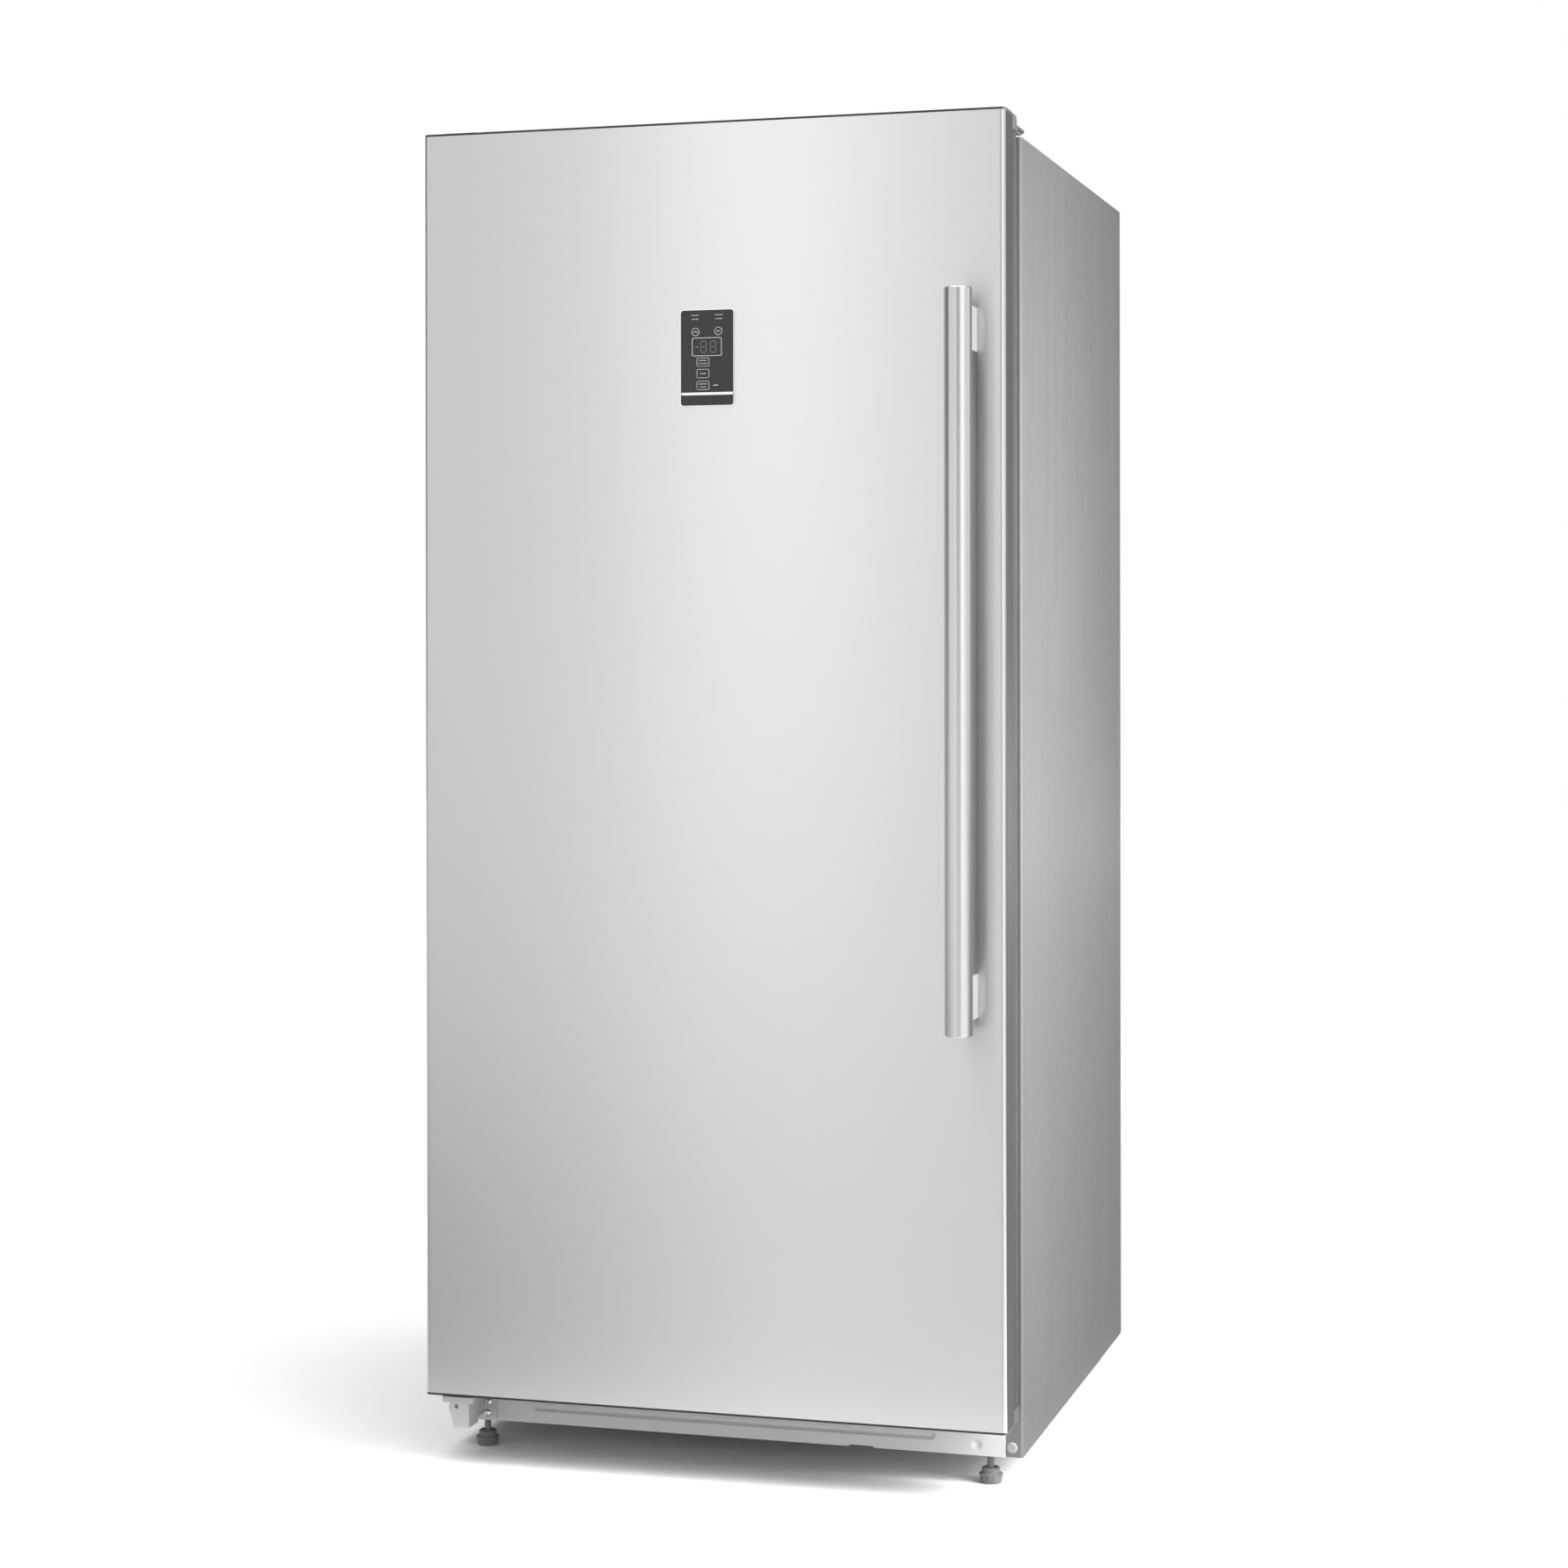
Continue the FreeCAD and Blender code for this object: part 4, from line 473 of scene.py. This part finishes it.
def loose_boxes(node):
    """The corners of the box round each separate solid of a CAD node."""
    mesh = node.data
    parent = list(range(len(mesh.vertices)))

    def root(index):
        while parent[index] != index:
            parent[index] = parent[parent[index]]
            index = parent[index]
        return index

    for edge in mesh.edges:
        first, second = (root(index) for index in edge.vertices)
        parent[first] = second
    groups = {}
    for vertex in mesh.vertices:
        groups.setdefault(root(vertex.index), []).append(node.matrix_world @ vertex.co)
    boxes = []
    for points in groups.values():
        low = Vector([min(point[axis] for point in points) for axis in range(3)])
        high = Vector([max(point[axis] for point in points) for axis in range(3)])
        boxes.append((low, high))
    return boxes


def merged(boxes):
    """Joins boxes that overlap, so that a solid drawn as several face patches counts once."""
    joined = []
    for low, high in boxes:
        for other in joined:
            inside = all(low[axis] <= other[1][axis] + TOUCH and high[axis] >= other[0][axis] - TOUCH
                         for axis in range(3))
            if inside:
                other[0][:] = [min(low[axis], other[0][axis]) for axis in range(3)]
                other[1][:] = [max(high[axis], other[1][axis]) for axis in range(3)]
                break
        else:
            joined.append([low.copy(), high.copy()])
    return joined


def head_height(across, up, radius):
    """The surface of a pan head with a cross recess, over its seat."""
    reach = math.hypot(across, up) / radius
    dome = HEAD_TALL * (1 - reach ** 3.2 * 0.62)
    slot = min(abs(across), abs(up)) / (0.1 * radius)
    sides = max(0.0, min(1.0, 2.2 - slot))
    depth = max(0.0, 1 - (reach / 0.62) ** 2)
    return dome - 0.62 * HEAD_TALL * sides * math.sqrt(depth)


def pan_screw(mesh, low, high):
    """One cross-recessed pan-head screw in a CAD screw's box."""
    size = high - low
    axis = min(range(3), key=lambda index: size[index])
    sign = HEAD_FACES[axis]
    seat = (high if sign > 0 else low)[axis] - sign * HEAD_TALL
    first, second = (index for index in range(3) if index != axis)
    radius = size[first] / 2

    def put(distance, angle, level):
        point = [0.0, 0.0, 0.0]
        point[first] = (low[first] + high[first]) / 2 + distance * math.cos(angle + HEAD_TURN)
        point[second] = (low[second] + high[second]) / 2 + distance * math.sin(angle + HEAD_TURN)
        point[axis] = seat + sign * level
        return mesh.verts.new(point)

    def level_lap(distance, level):
        return [put(distance, angle, level) for angle in angles]

    def head_lap(distance):
        lap = []
        for angle in angles:
            across, up = distance * math.cos(angle), distance * math.sin(angle)
            lap.append(put(distance, angle, head_height(across, up, radius)))
        return lap

    angles = [2 * math.pi * step / HEAD_STEPS for step in range(HEAD_STEPS)]
    laps = [level_lap(radius / 2, HEAD_TALL - size[axis]), level_lap(radius / 2, 0), level_lap(radius, 0)]
    laps += [head_lap(radius * lap / HEAD_LAPS) for lap in range(HEAD_LAPS, 0, -1)]
    for here, there in zip(laps, laps[1:]):
        for step in range(HEAD_STEPS):
            after = (step + 1) % HEAD_STEPS
            mesh.faces.new((here[step], here[after], there[after], there[step]))
    top = put(0, 0, head_height(0, 0, radius))
    for step in range(HEAD_STEPS):
        mesh.faces.new((laps[-1][step], laps[-1][(step + 1) % HEAD_STEPS], top))
    mesh.faces.new(laps[0][::-1])


def hinge_screws():
    """A drawn screw in the place of each plain CAD one."""
    mesh = bmesh.new()
    for low, high in merged(loose_boxes(nodes["hinge_screws"])):
        pan_screw(mesh, low, high)
    bmesh.ops.recalc_face_normals(mesh, faces=mesh.faces)
    piece = add_piece("cross_head_screws", mesh, "case", "bright_steel")
    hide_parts("hinge_screws")


# The gasket's section in mm: distance inwards from its outer edge, height above the door's liner.
GASKET_SECTION = [(1.5, 0), (20.5, 0), (20.5, 3.2), (17.4, 5), (19.8, 8.6), (17.2, 12.2), (21.4, 14),
                  (22, 15.2), (22, 20.4), (20.8, 21.6), (1.2, 21.6), (0, 20.4), (0, 15.2), (0.6, 14),
                  (4.8, 12.2), (2.2, 8.6), (4.6, 5), (1.5, 3.2)]


def bellows_gasket():
    """The soft magnetic gasket: a foot, a folded bellows and a flat magnet tube, mitred at the corners."""
    low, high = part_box("door_gasket")
    mesh = bmesh.new()
    loops = []
    for right, top in ((0, 0), (1, 0), (1, 1), (0, 1)):
        loop = []
        for inwards, lift in GASKET_SECTION:
            x = high.x - inwards * MM if right else low.x + inwards * MM
            z = high.z - inwards * MM if top else low.z + inwards * MM
            loop.append(mesh.verts.new((x, low.y + lift * MM, z)))
        loops.append(loop)
    count = len(GASKET_SECTION)
    for corner in range(4):
        here, there = loops[corner], loops[(corner + 1) % 4]
        for index in range(count):
            after = (index + 1) % count
            mesh.faces.new((here[index], there[index], there[after], here[after]))
    bmesh.ops.recalc_face_normals(mesh, faces=mesh.faces)
    piece = add_piece("bellows_gasket", mesh, "door", "gasket_rubber")
    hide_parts("door_gasket")


# ---------------------------------------------------------------- control panel prints

INK = 0.08 * MM

# The panel's layout: shares of its width, from the left, and of its height, from the top.
CHEVRONS = ((0.281, 0.227, 1), (0.714, 0.223, -1))
WINDOW_ACROSS, WINDOW_DOWN, WINDOW_WIDE, WINDOW_TALL = 0.496, 0.3855, 0.56, 0.191
DIGITS_ACROSS = (0.435, 0.615)
DOTS_ACROSS, DOTS_DOWN = 0.72, (0.345, 0.426)
MINUS_ACROSS, MINUS_HALF = 0.305, 0.035
KEY_ACROSS, KEY_WIDE, KEY_TALL = 0.4215, 0.235, 0.091
CAPTION_ACROSS, CAPTION_ROWS = (0.275, 0.725), ((0.052, 0.15), (0.094, 0.13))
DASH_ACROSS, DASH_DOWN, DASH_HALF = 0.663, 0.790, 0.045
LINE_INSET, LINE_DOWN, LINE_TALL = 0.012, 0.877, 0.028

# Each key's top, then its rows of marks: how far below its middle and how long, as shares of the key.
KEYS = (
    (0.499, ((-0.17, 0.6), (0.17, 0.72))),
    (0.620, ((0.0, 0.5),)),
    (0.744, ((-0.17, 0.66), (0.17, 0.55))),
)


def panel_place():
    """A function from shares of the panel to X and Z, the panel's width and height, and its front's Y."""
    low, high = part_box("control_panel")
    width, height = high.x - low.x, high.z - low.z

    def place(across, down):
        return low.x + across * width, high.z - down * height

    return place, width, height, low.y


def dash(mesh, place, half, stroke, front, rear):
    """A level stroke, half long on each side of its place."""
    x, z = place
    slab(mesh, bar_mark((x - half, z), (x + half, z), stroke), front, rear)


def frame_mark(mesh, centre, size, radius, line, front, rear):
    """A rounded outline of a given line width."""
    outer = rounded(*centre, *size, radius)
    inner = rounded(*centre, size[0] - 2 * line, size[1] - 2 * line, radius - line)
    ring(mesh, outer, inner, front, rear)


def tick_row(mesh, across, up, length, front, rear):
    """A generic row of short upright ticks that stands in for a caption."""
    pitch, tall = 1.05 * MM, 1.25 * MM
    count = max(3, round(length / pitch))
    for index in range(count):
        x = across + (index - (count - 1) / 2) * pitch
        half = tall / 2 * (1.0, 0.55, 0.8)[index % 3]
        slab(mesh, bar_mark((x, up - half), (x, up + half), 0.45 * MM), front, rear)


def chevron(mesh, centre, radius, rise, front, rear):
    """A ring round a chevron that points up, where rise is 1, or down."""
    x, z = centre
    ring(mesh, circle(x, z, radius), circle(x, z, radius - 0.45 * MM), front, rear)
    reach, lift = radius * 0.48, radius * 0.2 * rise
    for side in (-1, 1):
        slab(mesh, bar_mark((x + side * reach, z - lift), (x, z + lift), 0.5 * MM), front, rear)


def digit(mesh, centre, size, stroke, front, rear):
    """A seven-segment figure eight, drawn as separate strokes with gaps between them."""
    half, tall, gap = size * 0.5, size * 0.95, stroke * 0.65
    across, up = centre
    for level in (-tall, 0, tall):
        ends = ((across - half + gap, up + level), (across + half - gap, up + level))
        slab(mesh, bar_mark(*ends, stroke), front, rear)
    for side in (-half, half):
        for base in (-tall, 0):
            ends = ((across + side, up + base + gap), (across + side, up + base + tall - gap))
            slab(mesh, bar_mark(*ends, stroke), front, rear)


def white_prints():
    """Ringed chevrons, the display's frame, three keys, rows of ticks, a dash and the lower line."""
    place, width, height, face = panel_place()
    front, rear = face - INK, face + INK
    mesh = bmesh.new()
    for across, down, rise in CHEVRONS:
        chevron(mesh, place(across, down), 0.072 * width, rise, front, rear)
    window = (WINDOW_WIDE * width, WINDOW_TALL * height)
    frame_mark(mesh, place(WINDOW_ACROSS, WINDOW_DOWN), window, 1.6 * MM, 0.5 * MM, front, rear)
    key = (KEY_WIDE * width, KEY_TALL * height)
    for top, rows in KEYS:
        x, z = place(KEY_ACROSS, top + KEY_TALL / 2)
        frame_mark(mesh, (x, z), key, 1.8 * MM, 0.35 * MM, front, rear)
        for shift, share in rows:
            tick_row(mesh, x, z - shift * key[1], share * key[0], front, rear)
    for across in CAPTION_ACROSS:
        for down, share in CAPTION_ROWS:
            tick_row(mesh, *place(across, down), share * width, front, rear)
    dash(mesh, place(DASH_ACROSS, DASH_DOWN), DASH_HALF * width, 0.7 * MM, front, rear)
    dash(mesh, place(0.5, LINE_DOWN), (0.5 - LINE_INSET) * width, LINE_TALL * height, front, rear)
    add_piece("panel_white_prints", mesh, "door", "ink_white")


def dim_prints():
    """The unlit figures of the display."""
    place, width, _, face = panel_place()
    front, rear = face - INK * 0.6, face + INK
    stroke = 0.9 * MM
    mesh = bmesh.new()
    for across in DIGITS_ACROSS:
        digit(mesh, place(across, WINDOW_DOWN), 0.105 * width, stroke, front, rear)
    dash(mesh, place(MINUS_ACROSS, WINDOW_DOWN), MINUS_HALF * width, stroke, front, rear)
    for down in DOTS_DOWN:
        slab(mesh, circle(*place(DOTS_ACROSS, down), 0.6 * MM, 16), front, rear)
    add_piece("panel_dim_prints", mesh, "door", "ink_dim")


# ---------------------------------------------------------------- stage

CAMERA_AT = (1.079, -3.786, 0.992)
CAMERA_TURN = 16.02
CAMERA_ROLL = 0.078
CAMERA_LENS = 70.74
CAMERA_SHIFT = -0.0951


def camera():
    """A level camera to the right of the front, looking back at it; its shift frames the freezer."""
    data = bpy.data.cameras.new("camera")
    data.lens = CAMERA_LENS
    data.sensor_width = 36.0
    data.shift_y = CAMERA_SHIFT
    item = bpy.data.objects.new("camera", data)
    item.location = CAMERA_AT
    item.rotation_euler = (math.radians(90), math.radians(CAMERA_ROLL), math.radians(CAMERA_TURN))
    bpy.context.scene.collection.objects.link(item)
    bpy.context.scene.camera = item


def stage_mesh(name, mesh):
    """Puts a stage object, which isn't part of the freezer, in the scene."""
    data = bpy.data.meshes.new(name)
    mesh.to_mesh(data)
    mesh.free()
    item = bpy.data.objects.new(name, data)
    bpy.context.scene.collection.objects.link(item)
    return item


def floor():
    mesh = bmesh.new()
    bmesh.ops.create_grid(mesh, x_segments=1, y_segments=1, size=14.0)
    stage_mesh("floor", mesh).data.materials.append(floor_paint())


def floor_paint():
    """White paint that counts as mid grey for the light that it bounces onto the freezer."""
    material = painted("floor_paint", grey(0.95), 0.7, 200.0, 0.02)
    tree = material.node_tree
    base = tree.nodes["Principled BSDF"].inputs["Base Color"]
    path = tree.nodes.new("ShaderNodeLightPath")
    white = base.links[0].from_socket
    link(tree, mix_colour(tree, path.outputs["Is Diffuse Ray"], white, grey(0.5)), base)
    return material


def softbox(name, azimuth, distance, height, width, tall, power, aim):
    """An upright light that isn't mirrored in anything; azimuth is degrees to the right of the front."""
    data = bpy.data.lights.new(name, "AREA")
    data.shape = "RECTANGLE"
    data.size = width
    data.size_y = tall
    data.energy = power
    item = bpy.data.objects.new(name, data)
    angle = math.radians(azimuth)
    item.location = (distance * math.sin(angle), -distance * math.cos(angle), height)
    item.rotation_euler = (Vector((0, 0, aim)) - item.location).to_track_quat("-Z", "Y").to_euler()
    item.visible_camera = False
    item.visible_glossy = False
    bpy.context.scene.collection.objects.link(item)


def card(name, across, deep, level):
    """A glowing card just above the floor, seen only in reflections; level gives its strength's socket."""
    mesh = bmesh.new()
    corners = [(across[0], deep[0]), (across[1], deep[0]), (across[1], deep[1]), (across[0], deep[1])]
    mesh.faces.new([mesh.verts.new((x, y, 4 * MM)) for x, y in corners])
    item = stage_mesh(name, mesh)
    material, tree, shader, coords = new_material(name)
    tree.nodes.remove(shader)
    glow = tree.nodes.new("ShaderNodeEmission")
    place = split_axes(tree, coords)
    link(tree, level(tree, place["X"], place["Y"]), glow.inputs["Strength"])
    link(tree, glow.outputs["Emission"], tree.nodes["Material Output"].inputs["Surface"])
    item.data.materials.append(material)
    item.visible_camera = False
    item.visible_diffuse = False
    item.visible_shadow = False
    item.visible_transmission = False


def front_level(tree, across, deep):
    """Bright, but dark where it is both to the left and close to the door."""
    left = spread(tree, across, 1, 0, -0.8, 0.0)
    close = spread(tree, deep, 0, 1, -2.1, -1.2)
    return spread(tree, calc(tree, "MULTIPLY", left, close), 0.92, 0.08, 0, 1)


def side_level(tree, across, _):
    """Dim, and dimmer still away from the case."""
    return spread(tree, across, 0.28, 0.2, 0.4, 2.5)


def overhead():
    """A wide soft light straight down, which whitens the floor and leaves soft contact shadows."""
    data = bpy.data.lights.new("overhead", "SUN")
    data.energy = 2.4
    data.angle = math.radians(70)
    item = bpy.data.objects.new("overhead", data)
    bpy.context.scene.collection.objects.link(item)


# Brightness of the room by azimuth, in degrees to the right of the front.
ROOM = [(-180, 0.3), (-150, 0.14), (-80, 0.12), (-60, 1.05), (-40, 0.98), (-25, 0.84), (-20, 0.93),
        (-17.5, 1.85), (-15.7, 1.75), (-13, 0.86), (1, 0.86), (9, 0.38), (22, 0.42), (36, 1.5), (48, 1.9),
        (66, 1.35), (84, 0.85), (98, 1.2), (116, 1.2), (132, 0.45), (150, 0.24), (172, 0.2), (180, 0.3)]


def world():
    """A room whose brightness changes with the azimuth, and which the camera itself sees as white."""
    item = bpy.data.worlds.new("studio")
    bpy.context.scene.world = item
    item.use_nodes = True
    tree = item.node_tree
    coords = tree.nodes.new("ShaderNodeTexCoord")
    place = split_axes(tree, coords.outputs["Generated"])
    azimuth = calc(tree, "ARCTAN2", place["X"], calc(tree, "MULTIPLY", place["Y"], -1.0))
    ramp = tree.nodes.new("ShaderNodeValToRGB")
    ramp.color_ramp.interpolation = "EASE"
    fill_ramp(ramp.color_ramp, ROOM)
    link(tree, spread(tree, azimuth, 0, 1, -math.pi, math.pi), ramp.inputs["Fac"])
    path = tree.nodes.new("ShaderNodeLightPath")
    seen = mix_colour(tree, path.outputs["Is Camera Ray"], ramp.outputs["Color"], grey(1.0))
    link(tree, seen, tree.nodes["Background"].inputs["Color"])


def fill_ramp(ramp, stops):
    """Sets a colour ramp from (degrees, brightness) pairs over a full turn."""
    while len(ramp.elements) > 1:
        ramp.elements.remove(ramp.elements[-1])
    for index, (degrees, level) in enumerate(stops):
        place = (degrees + 180) / 360
        element = ramp.elements[0] if index == 0 else ramp.elements.new(place)
        element.position = place
        element.color = (level, level, level, 1)


def stage():
    bpy.context.scene.view_settings.view_transform = "Standard"
    camera()
    floor()
    world()
    overhead()
    softbox("right_box", azimuth=69, distance=1.28, height=0.95, width=0.5, tall=1.2, power=41, aim=0.8)
    card("front_card", across=(-3.2, 1.2), deep=(-3.6, -0.5), level=front_level)
    card("side_card", across=(0.37, 9.0), deep=(-0.2, 9.0), level=side_level)


# ---------------------------------------------------------------- the model

finish_nodes()
hinge_screws()
bellows_gasket()
white_prints()
dim_prints()
stage()

bpy.context.view_layer.update()
